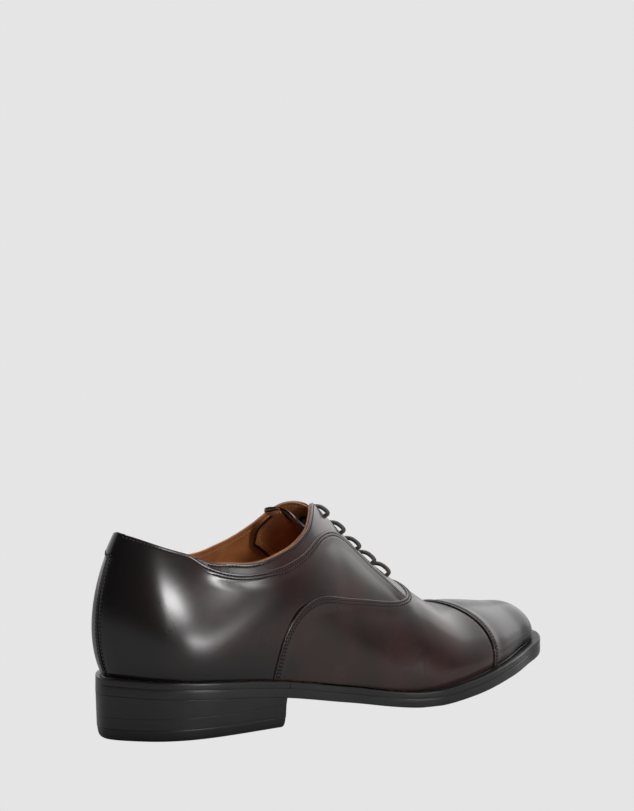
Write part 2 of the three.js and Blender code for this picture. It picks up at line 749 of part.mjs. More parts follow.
// A strip round the toe or round the heel, between two insets.
function strip(path, outer, inner, bottom, top) {
  return sheet(path, range(0, 1, 3), ([side, s], v, face) => {
    const inset = inner(s) + v * (outer(s) - inner(s));
    const p = feather(side, s).addScaledVector(outward(side, s), -inset);
    return new THREE.Vector3(p.x, p.y, face ? top(p.x) : bottom(p.x));
  });
}

// Share of the feather line at which a side reaches x.
function shareAt(side, x) {
  let [a, b] = [0.05, 0.95];
  for (let i = 0; i < 40; i += 1) {
    const middle = (a + b) / 2;
    if (feather(side, middle).x < x) a = middle;
    else b = middle;
  }
  return (a + b) / 2;
}
const BREAST = { [-1]: shareAt(-1, HEEL_LENGTH), 1: shareAt(1, HEEL_LENGTH) };
const WELT_SET = 7; // the welt reaches this far in from the feather line

function outsole() {
  return plate(SOLE_ROWS, (s) => -soleEdge(s), underside, outsoleTop);
}

function welt() {
  const inOrder = SOLE_ROWS.filter((s) => s > BREAST[1] + 0.01);
  const path = [
    [-1, BREAST[-1]],
    ...inOrder.filter((s) => s > BREAST[-1] + 0.01).map((s) => [-1, s]),
    ...inOrder.slice(0, -1).reverse().map((s) => [1, s]),
    [1, BREAST[1]],
  ];
  const outer = (s) => -soleEdge(s);
  return strip(path, outer, () => WELT_SET, (x) => outsoleTop(x) + GAP, (x) => featherZ(x) - GAP);
}

function heelRand() {
  const split = lineShare(GAP);
  const stops = (side) => SOLE_ROWS.filter((s) => s > 0 && s < BREAST[side] - 0.01);
  const path = [
    [-1, BREAST[-1] - split],
    ...stops(-1).reverse().map((s) => [-1, s]),
    [1, 0],
    ...stops(1).map((s) => [1, s]),
    [1, BREAST[1] - split],
  ];
  const outer = (s) => -soleEdge(s);
  return strip(path, outer, () => WELT_SET, (x) => outsoleTop(x) + GAP, (x) => featherZ(x) - GAP);
}

const fillInset = () => WELT_SET + GAP;
function corkFiller() {
  const rowsIn = [0.5, ...SOLE_ROWS.filter((s) => s > 0.52 && s < 0.985)];
  return plate(rowsIn, fillInset, (x) => outsoleTop(x) + GAP, (x) => featherZ(x) - GAP);
}
function seatFiller() {
  const rowsIn = [...SOLE_ROWS.filter((s) => s > 0.03 && s < 0.2), 0.2];
  return plate(rowsIn, fillInset, (x) => outsoleTop(x) + GAP, (x) => featherZ(x) - GAP);
}

// The steel that bridges the waist between the two fillers.
const SHANK_HALF = 8;
function shank() {
  const from = Math.max(feather(-1, 0.2).x, feather(1, 0.2).x) - 1 + GAP + 1.5;
  const to = Math.min(feather(-1, 0.5).x, feather(1, 0.5).x) - GAP - 8;
  const middle = (x) => (feather(-1, shareAt(-1, x)).y + feather(1, shareAt(1, x)).y) / 2;
  return sheet(range(from, to, 12), [-1, 0, 1], (x, v, face) => {
    const base = outsoleTop(x) + GAP;
    const crown = 0.8 * (1 - v * v);
    return new THREE.Vector3(x, middle(x) + v * SHANK_HALF, face ? base + 1.3 + crown : base + crown);
  });
}
const LINING_SET = UPPER + BEDDING + STIFFENER + BEDDING + LINING + BEDDING;
const insoleTop = (x) => featherZ(x) + INSOLE;
function insole() {
  return plate(SOLE_ROWS, () => LINING_SET, (x) => featherZ(x), insoleTop);
}
function sockLiner() {
  return plate(SOLE_ROWS, () => LINING_SET + 0.6, (x) => insoleTop(x) + GAP, (x) => insoleTop(x) + GAP + SOCK);
}

// ---- the stacked heel ----
const HEEL_TAPER = 1; // the heel is this much narrower at the ground, each side
const HEEL_ROWS = [0, 0.05, 0.12, 0.21, 0.32, 0.44, 0.56, 0.68, 0.8, 0.9, 1];
const breastUnder = underside(HEEL_LENGTH);
const LIFT_TOP = TOP_LIFT + GAP + 0.62 * (breastUnder - TOP_LIFT - 2 * GAP);
function heelLayer(bottom, top) {
  const under = (x) => (typeof bottom === 'number' ? bottom : bottom(x));
  const over = (x) => (typeof top === 'number' ? top : top(x));
  const taper = (z) => HEEL_TAPER * (1 - z / HEEL_HEIGHT);
  const inset = (s, face) => -soleEdge(s) + taper(face ? over(20) : under(20));
  return plate(HEEL_ROWS, inset, under, over, (side, q) => q * BREAST[side]);
}

// Nails in a horseshoe, through the top lift into the stack.
const NAIL_SHARES = [0.07, 0.16, 0.25];
function nailPlaces() {
  return SIDES.flatMap(([name, side]) =>
    NAIL_SHARES.map((s, i) => {
      const p = feather(side, s * (BREAST[side] / 0.27)).addScaledVector(outward(side, s), -8);
      return { name: `heel_nail_${name}_${i + 1}`, x: p.x, y: p.y };
    }),
  );
}
const NAIL_HEAD = 2;
const NAIL_SHANK = 1;
const NAIL_TOP = LIFT_TOP - 0.8;
function nail({ x, y }) {
  const outline = [
    [0, 0.4],
    [NAIL_HEAD, 0.4],
    [NAIL_HEAD, 1.4],
    [NAIL_SHANK, 1.6],
    [NAIL_SHANK, NAIL_TOP - 2],
    [0, NAIL_TOP],
  ];
  return turned(outline, 12).translate(x, y, 0);
}
function nailHole({ x, y }) {
  const outline = [
    [0, -1],
    [NAIL_HEAD + GAP, -1],
    [NAIL_HEAD + GAP, 1.4 + GAP],
    [NAIL_SHANK + GAP, 1.6 + GAP],
    [NAIL_SHANK + GAP, NAIL_TOP + GAP],
    [0, NAIL_TOP + GAP],
  ];
  return turned(outline, 12).translate(x, y, 0);
}

// ---- assembly ----
for (const [name, side] of SIDES) {
  add(upper, `quarter_${name}`, quarter(side), CALF);
  add(upper, `facing_${name}`, facing(side), CALF);
  add(upper, `quarter_lining_${name}`, quarterLining(side), LINING_CALF);
}
add(upper, 'vamp', vamp(), CALF);
add(upper, 'toe_cap', toeCap(), CALF_DARK);
add(upper, 'heel_tab', heelTab(), CALF);
add(upper, 'heel_counter', heelCounter(), BOARD);
add(upper, 'toe_puff', toePuff(), BOARD);
add(upper, 'heel_lining', heelLining(), LINING_CALF);
add(upper, 'vamp_lining', vampLining(), LINING_CALF);
add(upper, 'tongue', tongueSheet(TONGUE_TOP, TONGUE, 0), CALF);
add(upper, 'tongue_lining', tongueSheet(TONGUE_TOP - TONGUE - BEDDING, LINING, 0.01), LINING_CALF);

const lacing = new THREE.Group();
shoe.add(lacing);
const path = lacePoints();
add(lacing, 'lace', cord(path, LACE / 2, 170, 6), COTTON);
add(lacing, 'aglet_outer', aglet(path[0], path[1]), AGLET);
add(lacing, 'aglet_inner', aglet(path[path.length - 1], path[path.length - 2]), AGLET);
for (const [name, side] of SIDES) {
  rows[side].forEach((e, i) => add(lacing, `eyelet_${name}_${i + 1}`, eyelet(e), EYELET_METAL));
}

add(sole, 'outsole', outsole(), EDGE_BLACK);
add(sole, 'welt', welt(), EDGE_BLACK);
add(sole, 'heel_rand', heelRand(), EDGE_BLACK);
add(sole, 'cork_filler', corkFiller(), CORK);
add(sole, 'seat_filler', seatFiller(), BOARD);
add(sole, 'shank', shank(), STEEL);
add(sole, 'insole', insole(), BOARD);
add(sole, 'sock_liner', sockLiner(), LINING_CALF);
const nails = nailPlaces();
const holes = nails.map((n) => nailHole(n));
add(sole, 'top_lift', pierced(heelLayer(0, TOP_LIFT), holes), RUBBER);
add(sole, 'heel_lift', pierced(heelLayer(TOP_LIFT + GAP, LIFT_TOP), holes), EDGE_BLACK);
add(sole, 'heel_wedge', heelLayer(LIFT_TOP + GAP, (x) => underside(x) - GAP), EDGE_BLACK);
for (const n of nails) add(sole, n.name, nail(n), BRASS);

// The finished shoe stands on the ground with the middle of its box over the origin.
const box = new THREE.Box3().setFromObject(shoe);
const middle = box.getCenter(new THREE.Vector3());
shoe.position.set(-middle.x, -middle.y, -box.min.z);
export default shoe;
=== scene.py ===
"""Looks of a right-foot cap-toe oxford shoe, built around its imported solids.

Every panel is drawn over one last, the foot-shaped form that a shoemaker works on. A place on the
last is given by s, the share of the feather line from the heel to the tip, and by w, which runs
from -1 at the outer feather line over the ridge at 0 to 1 at the inner feather line. Sizes are in
millimetres until a mesh is made.
"""

import logging
import math
from dataclasses import dataclass, field
from enum import Enum

import bmesh
import bpy
import numpy as np
from mathutils import Matrix, Vector


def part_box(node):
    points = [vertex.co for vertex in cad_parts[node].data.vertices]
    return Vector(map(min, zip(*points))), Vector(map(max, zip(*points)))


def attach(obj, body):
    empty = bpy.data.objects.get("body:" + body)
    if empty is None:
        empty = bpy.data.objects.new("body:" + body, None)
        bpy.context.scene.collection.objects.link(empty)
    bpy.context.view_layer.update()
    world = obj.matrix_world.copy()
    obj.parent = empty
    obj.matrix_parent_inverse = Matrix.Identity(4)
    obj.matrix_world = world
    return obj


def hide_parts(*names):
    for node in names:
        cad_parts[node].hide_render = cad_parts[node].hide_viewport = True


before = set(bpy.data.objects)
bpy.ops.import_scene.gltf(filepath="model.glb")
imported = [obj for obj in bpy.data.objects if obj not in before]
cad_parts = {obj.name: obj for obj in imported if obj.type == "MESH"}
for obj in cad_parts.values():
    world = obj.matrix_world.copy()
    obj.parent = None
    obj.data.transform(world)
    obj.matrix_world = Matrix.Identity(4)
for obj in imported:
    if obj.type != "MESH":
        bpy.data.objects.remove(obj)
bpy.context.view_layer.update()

log = logging.getLogger("oxford")
MM = 0.001
BODY = "shoe"
FLAP = "tongue_flap"
Array = np.ndarray


class Side(Enum):
    """The two sides of the shoe, by the sign of their place across the last."""

    OUTER = -1
    INNER = 1


# ---- small mathematical tools ----


def smooth(x: Array | float, low: float, high: float) -> Array:
    """A soft step from 0 at low to 1 at high."""
    q = np.clip((np.asarray(x, float) - low) / (high - low), 0, 1)
    return q * q * (3 - 2 * q)


def through(keys: list[tuple[float, float]], x: Array | float) -> Array:
    """A smooth line through keys.

    Args:
        keys: Pairs of place and value, in order of place.
        x: Where the line is read.

    Returns:
        The line's values at x.
    """
    place = np.array([k[0] for k in keys], float)
    value = np.array([k[1] for k in keys], float)
    slope = np.empty_like(value)
    slope[1:-1] = (value[2:] - value[:-2]) / (place[2:] - place[:-2])
    slope[0] = (value[1] - value[0]) / (place[1] - place[0])
    slope[-1] = (value[-1] - value[-2]) / (place[-1] - place[-2])
    at = np.clip(np.asarray(x, float), place[0], place[-1])
    i = np.clip(np.searchsorted(place, at, side="right") - 1, 0, len(place) - 2)
    h = place[i + 1] - place[i]
    q = (at - place[i]) / h
    near = value[i] * (1 + 2 * q) * (1 - q) ** 2 + slope[i] * h * q * (1 - q) ** 2
    return near + value[i + 1] * q * q * (3 - 2 * q) + slope[i + 1] * h * q * q * (q - 1)


def unit(v: Array) -> Array:
    """Vectors of the same direction and length 1."""
    return v / np.maximum(np.linalg.norm(v, axis=-1, keepdims=True), 1e-12)


def arc_lengths(points: Array) -> Array:
    """Distance along a line of points, at each of them."""
    steps = np.linalg.norm(np.diff(points, axis=0), axis=-1)
    return np.concatenate([[0], np.cumsum(steps)])


def evenly(points: Array, spacing: float) -> Array:
    """Points at an even spacing along a line of points."""
    along = arc_lengths(points)
    count = max(2, int(round(along[-1] / spacing)) + 1)
    goal = np.linspace(0, along[-1], count)
    return np.stack([np.interp(goal, along, points[:, k]) for k in range(points.shape[1])], -1)


# ---- the last ----


@dataclass
class Last:
    """The form that every layer of the upper is drawn over, with the sole's lines under it."""

    length: float = 290.5
    heel_half: float = 31
    waist_outer: float = 34.8
    waist_inner: float = 26
    ball_outer: float = 43.5
    ball_inner: float = 48.8
    heel_height: float = 21.5
    heel_length: float = 84
    toe_spring: float = 13.6
    back_rise: float = 84
    instep_rise: float = 92
    toe_rise: float = 34
    outsole: float = 4.7
    welt: float = 2.8
    tip_extra: float = 2
    gap: float = 0.3
    tip_shift: float = 1.5
    ridge_set: float = 20.8
    rib_places: tuple[float, ...] = (0, 0.15, 0.3, 0.45, 0.6, 0.75, 0.88, 1)
    swell_outer: tuple[float, ...] = (18, 8, 10, 6.5, 5.2, 6.5, 6, 4)
    swell_inner: tuple[float, ...] = (18, 8.5, 7, 6, 6, 7, 6, 4)
    swell_height: tuple[float, ...] = (0.42, 0.28, 0.55, 0.42, 0.45, 0.52, 0.5, 0.56)
    roundness: tuple[float, ...] = (0.5, 0.35, 0.55, 0.48, 0.47, 0.5, 0.5, 0.55)
    lines: dict[int, tuple[Array, Array]] = field(default_factory=dict)

    def __post_init__(self) -> None:
        """Draws the two feather lines and the keys that depend on the sizes."""
        h, b = self.heel_half, self.back_rise
        outer = [(0, 0), (0.015, 0.34 * h), (0.06, 0.78 * h), (0.13, 1.02 * h)]
        outer += [(0.26, 0.98 * self.waist_outer), (0.4, self.waist_outer), (0.53, 1.07 * self.waist_outer)]
        shares = [(0.64, 1), (0.74, 0.985), (0.83, 0.86), (0.91, 0.655)]
        shares += [(0.965, 0.52), (0.993, 0.207), (1, 0)]
        outer += [(q, share * self.ball_outer) for q, share in shares]
        inner = [(0, 0), (0.015, 0.35 * h), (0.06, 0.8 * h), (0.13, 0.98 * h)]
        inner += [(0.26, 0.96 * self.waist_inner), (0.4, 1.04 * self.waist_inner)]
        shares = [(0.53, 0.73), (0.64, 0.935), (0.74, 1), (0.83, 0.9), (0.91, 0.7), (0.965, 0.45)]
        inner += [(q, share * self.ball_inner) for q, share in [*shares, (0.993, 0.193), (1, 0)]]
        self.lines = {-1: self.feather_line(outer, -1), 1: self.feather_line(inner, 1)}
        i, t = self.instep_rise, self.toe_rise
        self.ridge_keys = [(0, b), (0.12, 1.04 * b), (0.25, 1.16 * b), (0.36, 1.16 * i), (0.44, i)]
        self.ridge_keys += [(0.53, 0.79 * i), (0.62, 1.57 * t), (0.7, 1.06 * t), (0.78, 0.91 * t)]
        self.ridge_keys += [(0.86, 0.73 * t), (0.93, 0.53 * t), (0.975, 0.18 * t), (1, 0)]
        self.total = self.lines[-1][0][-1]

    def centre_y(self, x: Array) -> Array:
        """How far the middle line leans to the inner side."""
        return self.tip_shift * np.clip((x / self.length - 0.55) / 0.45, 0, 1) ** 1.5

    def tip_share(self, x: Array) -> Array:
        """Share of the sole's growth towards the tip."""
        return np.clip((x / self.length - 0.6) / 0.4, 0, 1)

    def underside(self, x: Array) -> Array:
        """Height of the sole's underside above the ground."""
        h, s = self.heel_height, self.toe_spring
        keys = [(0, h), (0.25, 0.745 * h), (0.42, 0.355 * h), (0.58, 0), (0.7, 0.15 * s)]
        keys += [(0.82, 0.48 * s), (0.92, 0.76 * s), (1, 1.15 * s)]
        return np.maximum(0, through(keys, np.asarray(x, float) / self.length))

    def outsole_top(self, x: Array) -> Array:
        """Height of the outsole's upper face."""
        return self.underside(x) + self.outsole + 0.6 * self.tip_extra * self.tip_share(x)

    def feather_z(self, x: Array) -> Array:
        """Height of the feather line, on top of the welt."""
        return self.outsole_top(x) + self.gap + self.welt + 0.4 * self.tip_extra * self.tip_share(x)

    def feather_line(self, edge: list[tuple[float, float]], side: int) -> tuple[Array, Array]:
        """Draws one side's feather line.

        Args:
            edge: Half widths by share of the length.
            side: -1 for the outer side, 1 for the inner side.

        Returns:
            Distance along the line, and the line's points.
        """
        knots = np.array([(q * self.length, w) for q, w in edge])
        flip = np.array([1, -1])
        knots = np.vstack([knots[1] * flip, knots, knots[-2] * flip])
        steps = np.sqrt(np.linalg.norm(np.diff(knots, axis=0), axis=1))
        place = np.concatenate([[0], np.cumsum(steps)])
        u = np.linspace(place[1], place[-2], 1201)
        x = through(list(zip(place, knots[:, 0])), u)
        y = side * through(list(zip(place, knots[:, 1])), u) + self.centre_y(x)
        points = np.stack([x, y], -1)
        return arc_lengths(points), points

    def feather(self, side: Array, s: Array) -> Array:
        """Points of the feather lines.

        Args:
            side: -1 or 1 for each point.
            s: Share of the line for each point.

        Returns:
            Places in plan.
        """
        found = []
        for sign in (-1, 1):
            along, points = self.lines[sign]
            goal = np.clip(s, 0, 1) * along[-1]
            found.append(np.stack([np.interp(goal, along, points[:, k]) for k in (0, 1)], -1))
        return np.where(np.asarray(side)[..., None] < 0, found[0], found[1])

    def outward(self, side: Array, s: Array) -> Array:
        """Outward direction of the feather line, in plan."""
        side = np.broadcast_to(side, np.shape(s)).astype(float)
        d = unit(self.feather(side, s + 0.002) - self.feather(side, s - 0.002))
        out = np.stack([-d[..., 1] * side, d[..., 0] * side], -1)
        tip = np.asarray(s)[..., None] > 0.999
        back = np.asarray(s)[..., None] < 0.001
        return np.where(tip, [1.0, 0.0], np.where(back, [-1.0, 0.0], out))

    def ridge(self, s: Array) -> Array:
        """Points of the ridge, where the two sides meet on top."""
        foot = 0.5 * (self.feather(np.full_like(s, -1), s)[..., 0] + self.feather(np.ones_like(s), s)[..., 0])
        x = foot + self.ridge_set * np.clip(1 - s / 0.36, 0, 1) ** 1.5
        return np.stack([x, self.centre_y(x), self.feather_z(foot) + through(self.ridge_keys, s)], -1)

    def keyed(self, values: tuple[float, ...], s: Array) -> Array:
        """A value given at each rib, read in between."""
        return through(list(zip(self.rib_places, values)), s)

    def rib(self, side: Array, s: Array, t: Array) -> Array:
        """Points of the last.

        Args:
            side: -1 or 1 for each point.
            s: Share from the heel to the tip.
            t: Share from the feather line to the ridge.

        Returns:
            Places in millimetres.
        """
        edge = self.feather(side, s)
        foot = np.concatenate([edge, self.feather_z(edge[..., 0])[..., None]], -1)
        top = self.ridge(s)
        rise = top[..., 2] - foot[..., 2]
        across = top[..., :2] - foot[..., :2]
        reach = np.linalg.norm(across, axis=-1)
        inward = across / np.maximum(reach, 1e-6)[..., None]
        swell = np.where(side < 0, self.keyed(self.swell_outer, s), self.keyed(self.swell_inner, s))
        swell = np.minimum(swell, 0.8 * reach + 0.5)
        low = foot.copy()
        low[..., :2] -= inward * swell[..., None]
        low[..., 2] += self.keyed(self.swell_height, s) * rise
        high = top.copy()
        high[..., :2] -= inward * (self.keyed(self.roundness, s) * reach)[..., None]
        t = np.asarray(t, float)[..., None]
        r = 1 - t
        return foot * r**3 + low * 3 * r * r * t + high * 3 * r * t * t + top * t**3

    def side_normal(self, side: Array, s: Array, t: Array) -> Array:
        """Outward directions of one side's surface."""
        q = np.clip(s, 0.002, 0.996)
        along = self.rib(side, q + 0.002, t) - self.rib(side, q - 0.002, t)
        up = self.rib(side, q, np.minimum(1, t + 0.01)) - self.rib(side, q, np.maximum(0, t - 0.01))
        return unit(np.cross(along, up) * -side[..., None])

    def normal(self, s: Array, w: Array) -> Array:
        """Outward directions at (s, w), softened where the two sides meet."""
        side = np.where(w < 0, -1.0, 1.0)
        t = 1 - np.abs(w)
        own = self.side_normal(side, s, t)
        other = self.side_normal(-side, s, t)
        share = 0.5 * np.maximum(1 - smooth(s, 0, 0.012), smooth(t, 0.96, 1))[..., None]
        return unit(own * (1 - share) + other * share)

    def layer(self, s: Array, w: Array, height: Array | float) -> Array:
        """Points at a height above the last's surface.

        Args:
            s: Share from the heel to the tip.
            w: Place across, from -1 to 1.
            height: Millimetres above the surface; below zero is inside.

        Returns:
            Places in millimetres.
        """
        s, w = np.broadcast_arrays(np.asarray(s, float), np.asarray(w, float))
        side = np.where(w < 0, -1.0, 1.0)
        p = self.rib(side, s, 1 - np.abs(w)) + self.normal(s, w) * np.asarray(height, float)[..., None]
        p[..., 2] = np.maximum(p[..., 2], self.feather_z(p[..., 0]) + 0.05)
        return p

    def share(self, mm: float) -> float:
        """Share of the feather line that is so many millimetres long."""
        return mm / self.total

    def beside(self, s: Array, w: Array, distance: float | Array) -> tuple[Array, Array]:
        """Moves a line sideways over the surface.

        Args:
            s: The line's shares.
            w: The line's places across.
            distance: Millimetres to the left, seen from outside along the line.

        Returns:
            The moved line's s and w.
        """
        step = 0.003
        flat = np.zeros_like(s)
        to_s = (self.layer(s + step, w, flat) - self.layer(s - step, w, flat)) / (2 * step)
        to_w = (self.layer(s, w + step, flat) - self.layer(s, w - step, flat)) / (2 * step)
        line = self.layer(s, w, flat)
        left = unit(np.cross(unit(np.cross(to_s, to_w)), unit(np.gradient(line, axis=0))))
        ss, sw, ww = (np.sum(a * b, -1) for a, b in ((to_s, to_s), (to_s, to_w), (to_w, to_w)))
        ls, lw = np.sum(left * to_s, -1), np.sum(left * to_w, -1)
        det = ss * ww - sw * sw
        return s + distance * (ls * ww - lw * sw) / det, w + distance * (lw * ss - ls * sw) / det


# ---- the pattern, drawn on the last ----


@dataclass
class Pattern:
    """The lines along which the panels of the upper meet."""

    last: Last
    base: float = 0.006
    band_start: float = 0.168
    lining_seam: float = 0.575
    heel_lining: float = 0.165
    facing_gap: float = 5
    vamp_seam: tuple[tuple[float, float], ...] = (
        (0, 0.272), (0.06, 0.28), (0.16, 0.293), (0.22, 0.314), (0.25, 0.34), (0.31, 0.393),
        (0.375, 0.443), (0.425, 0.492), (0.487, 0.541), (0.6, 0.588), (0.75, 0.61), (1, 0.62),
    )
    collar_seam: tuple[tuple[float, float], ...] = (
        (0.145, 0.55), (0.17, 0.495), (0.2, 0.443), (0.233, 0.402), (0.268, 0.379), (0.3, 0.374),
        (0.338, 0.41), (0.362, 0.46), (0.4, 0.575), (0.438, 0.688), (0.468, 0.745), (0.492, 0.755),
        (0.53, 0.725), (0.562, 0.698), (0.59, 0.613), (0.64, 0.5),
    )
    topline: tuple[tuple[float, float], ...] = (
        (0, 0.652), (0.033, 0.638), (0.092, 0.6), (0.143, 0.556), (0.175, 0.506), (0.21, 0.469),
        (0.242, 0.433), (0.28, 0.419), (0.323, 0.444), (0.362, 0.525), (0.385, 0.625),
        (0.413, 0.794), (0.435, 0.93), (0.45, 1),
    )
    cap_seam: tuple[tuple[float, float], ...] = ((0, 0.748), (0.5, 0.75), (0.8, 0.74), (1, 0.73))

    def rib_share(self, side: int, s: Array, t: Array, mm: float) -> Array:
        """Share of a rib that is so many millimetres long, near t."""
        sign = np.full_like(s, side, dtype=float)
        a, b = np.clip(t - 0.01, 0, 1), np.clip(t + 0.01, 0, 1)
        run = np.linalg.norm(self.last.rib(sign, s, a) - self.last.rib(sign, s, b), axis=-1)
        return mm * (b - a) / np.maximum(1, run)

    def edge_t(self, side: int, s: Array) -> Array:
        """Top edge of the upper: the topline, then the laced edge beside the middle line."""
        laced = 1 - self.rib_share(side, s, np.full_like(s, 0.97), self.facing_gap / 2)
        return np.minimum(through(self.topline, s), laced)

    def quarter_top(self, side: int, s: Array) -> Array:
        """Top edge of a quarter: the topline, then the collar seam."""
        grid = np.linspace(0, 0.66, 1321)
        edge = self.edge_t(side, grid)
        seam = np.minimum(edge, through(self.collar_seam, grid))
        crisp = np.where(grid < self.collar_seam[0][0], edge, seam)
        soft = crisp + (eased(crisp, 30) - crisp) * smooth(grid, 0.12, 0.14)
        return np.interp(s, grid, np.minimum(soft, edge))

    def vamp_at(self, t: Array) -> Array:
        """The vamp seam's s at t."""
        return through(self.vamp_seam, t)

    def cap_at(self, t: Array) -> Array:
        """The cap seam's s at t."""
        return through(self.cap_seam, t)

    def vamp_climb(self, s: Array) -> Array:
        """The vamp seam's t at s."""
        t = np.linspace(0, 1, 400)
        return np.interp(s, self.vamp_at(t), t)


# ---- mesh tools ----


@dataclass
class Workshop:
    """Turns points of the shoe, in millimetres, into objects that stand where the solids stand."""

    shift: Array

    def place(self, points: Array) -> Array:
        """Shoe millimetres to metres in the shared frame."""
        return (points - self.shift) * MM

    def piece(
        self, name: str, points: Array, faces: list, finish: "Finish", sharp: float = 50
    ) -> bpy.types.Object:
        """Makes a mesh object.

        Args:
            name: The object's name.
            points: Its points in millimetres.
            faces: Its faces, as rows of point numbers.
            finish: The finish that its faces get.
            sharp: Edges that bend more than this many degrees stay crisp.

        Returns:
            The new object.
        """
        mesh = bpy.data.meshes.new(name)
        mesh.from_pydata(self.place(np.asarray(points, float)).tolist(), [], faces)
        work = bmesh.new()
        work.from_mesh(mesh)
        bmesh.ops.remove_doubles(work, verts=work.verts, dist=2e-6)
        bmesh.ops.dissolve_degenerate(work, edges=work.edges, dist=1e-6)
        bmesh.ops.recalc_face_normals(work, faces=work.faces)
        work.to_mesh(mesh)
        work.free()
        mesh.shade_smooth()
        mesh.set_sharp_from_angle(angle=math.radians(sharp))
        mesh.materials.append(finish.material())
        made = bpy.data.objects.new(name, mesh)
        bpy.context.scene.collection.objects.link(made)
        return made

    def sheet(
        self, name: str, under: Array, over: Array, finish: "Finish", sharp: float = 50
    ) -> bpy.types.Object:
        """Makes a closed sheet between two grids of points.

        Args:
            name: The object's name.
            under: Grid of the inner face.
            over: Grid of the outer face.
            finish: The finish that its faces get.
            sharp: Edges that bend more than this many degrees stay crisp.

        Returns:
            The new object.
        """
        nu, nv = over.shape[:2]
        points = np.concatenate([under.reshape(-1, 3), over.reshape(-1, 3)])
        ids = np.arange(nu * nv).reshape(nu, nv)
        top = ids + nu * nv
        quads = [np.stack([g[:-1, :-1], g[1:, :-1], g[1:, 1:], g[:-1, 1:]], -1) for g in (top,)]
        quads.append(np.stack([ids[:-1, :-1], ids[:-1, 1:], ids[1:, 1:], ids[1:, :-1]], -1))
        for k, turn in ((0, 1), (-1, -1)):
            quads.append(np.stack([ids[:-1, k], ids[1:, k], top[1:, k], top[:-1, k]][::turn], -1))
            quads.append(np.stack([ids[k, 1:], ids[k, :-1], top[k, :-1], top[k, 1:]][::turn], -1))
        faces = np.concatenate([q.reshape(-1, 4) for q in quads]).tolist()
        return self.piece(name, points, faces, finish, sharp)

    def tube(
        self, name: str, path: Array, radius: float, finish: "Finish", sides: int = 12
    ) -> bpy.types.Object:
        """Makes a round cord along a path, with lengths in its texture coordinates.

        Args:
            name: The object's name.
            path: Points along its middle.
            radius: Its radius in millimetres.
            finish: The finish that its faces get.
            sides: Faces around it.

        Returns:
            The new object.
        """
        ahead = unit(np.gradient(path, axis=0))
        across = [unit(np.cross(ahead[0], [0.0, 0.0, 1.0]))]
        for direction in ahead[1:]:
            across.append(unit(across[-1] - direction * np.dot(across[-1], direction)))
        across = np.array(across)
        upward = np.cross(ahead, across)
        angle = np.linspace(0, 2 * math.pi, sides, endpoint=False)
        ring = across[:, None] * np.cos(angle)[None, :, None] + upward[:, None] * np.sin(angle)[None, :, None]
        points = path[:, None] + radius * ring
        n = len(path)
        ids = np.arange(n * sides).reshape(n, sides)
        faces = []
        for i in range(n - 1):
            for j in range(sides):
                k = (j + 1) % sides
                faces.append([ids[i, j], ids[i, k], ids[i + 1, k], ids[i + 1, j]])
        faces += [ids[0, ::-1].tolist(), ids[-1].tolist()]
        faces = [[int(v) for v in f] for f in faces]
        made = self.piece(name, points.reshape(-1, 3), faces, finish)
        along = arc_lengths(path)
        layer = made.data.uv_layers.new(name="cord")
        for polygon in made.data.polygons:
            turn = [v % sides for v in polygon.vertices]
            wraps = max(turn) - min(turn) > sides / 2
            for loop, vertex in zip(polygon.loop_indices, polygon.vertices):
                j = vertex % sides
                around = (j + sides if wraps and j < sides / 2 else j) / sides
                layer.data[loop].uv = (along[vertex // sides], around)
        return made


# ---- finishes ----


def linear(hex_colour: str, alpha: float = 1) -> tuple[float, float, float, float]:
    """Turns an sRGB hex colour into the linear values that a shader reads.

    Args:
        hex_colour: Six hex digits.
        alpha: The fourth value.

    Returns:
        Red, green, blue and alpha.
    """
    values = [int(hex_colour[i : i + 2], 16) / 255 for i in (0, 2, 4)]
    return (*(v / 12.92 if v <= 0.04045 else ((v + 0.055) / 1.055) ** 2.4 for v in values), alpha)


def add(tree: bpy.types.NodeTree, kind: str, links: dict | None = None, **settings) -> bpy.types.Node:
    """Adds a shader node.

    Args:
        tree: The material's node tree.
        kind: The node's type, without its Shader prefix.
        links: Input name or number to the output socket or the value that feeds it.
        settings: Attributes of the node.

    Returns:
        The new node.
    """
    made = tree.nodes.new("ShaderNode" + kind)
    for key, value in settings.items():
        setattr(made, key, value)
    for key, value in (links or {}).items():
        if isinstance(value, bpy.types.NodeSocket):
            tree.links.new(value, made.inputs[key])
        else:
            made.inputs[key].default_value = value
    return made


def ramp(
    tree: bpy.types.NodeTree, value: bpy.types.NodeSocket, stops: list[tuple[float, str]]
) -> bpy.types.NodeSocket:
    """Turns a value into colours.

    Args:
        tree: The material's node tree.
        value: The value that is read.
        stops: Place and hex colour of each stop.

    Returns:
        The colour socket.
    """
    made = add(tree, "ValToRGB", {"Fac": value})
    elements = made.color_ramp.elements
    while len(elements) < len(stops):
        elements.new(0.5)
    for element, (place, colour) in zip(elements, stops):
        element.position = place
        element.color = linear(colour)
    return made.outputs["Color"]


def per_mm(mm: float) -> float:
    """Texture scale whose features are about so many millimetres, for coordinates in metres."""
    return 1 / (mm * MM)


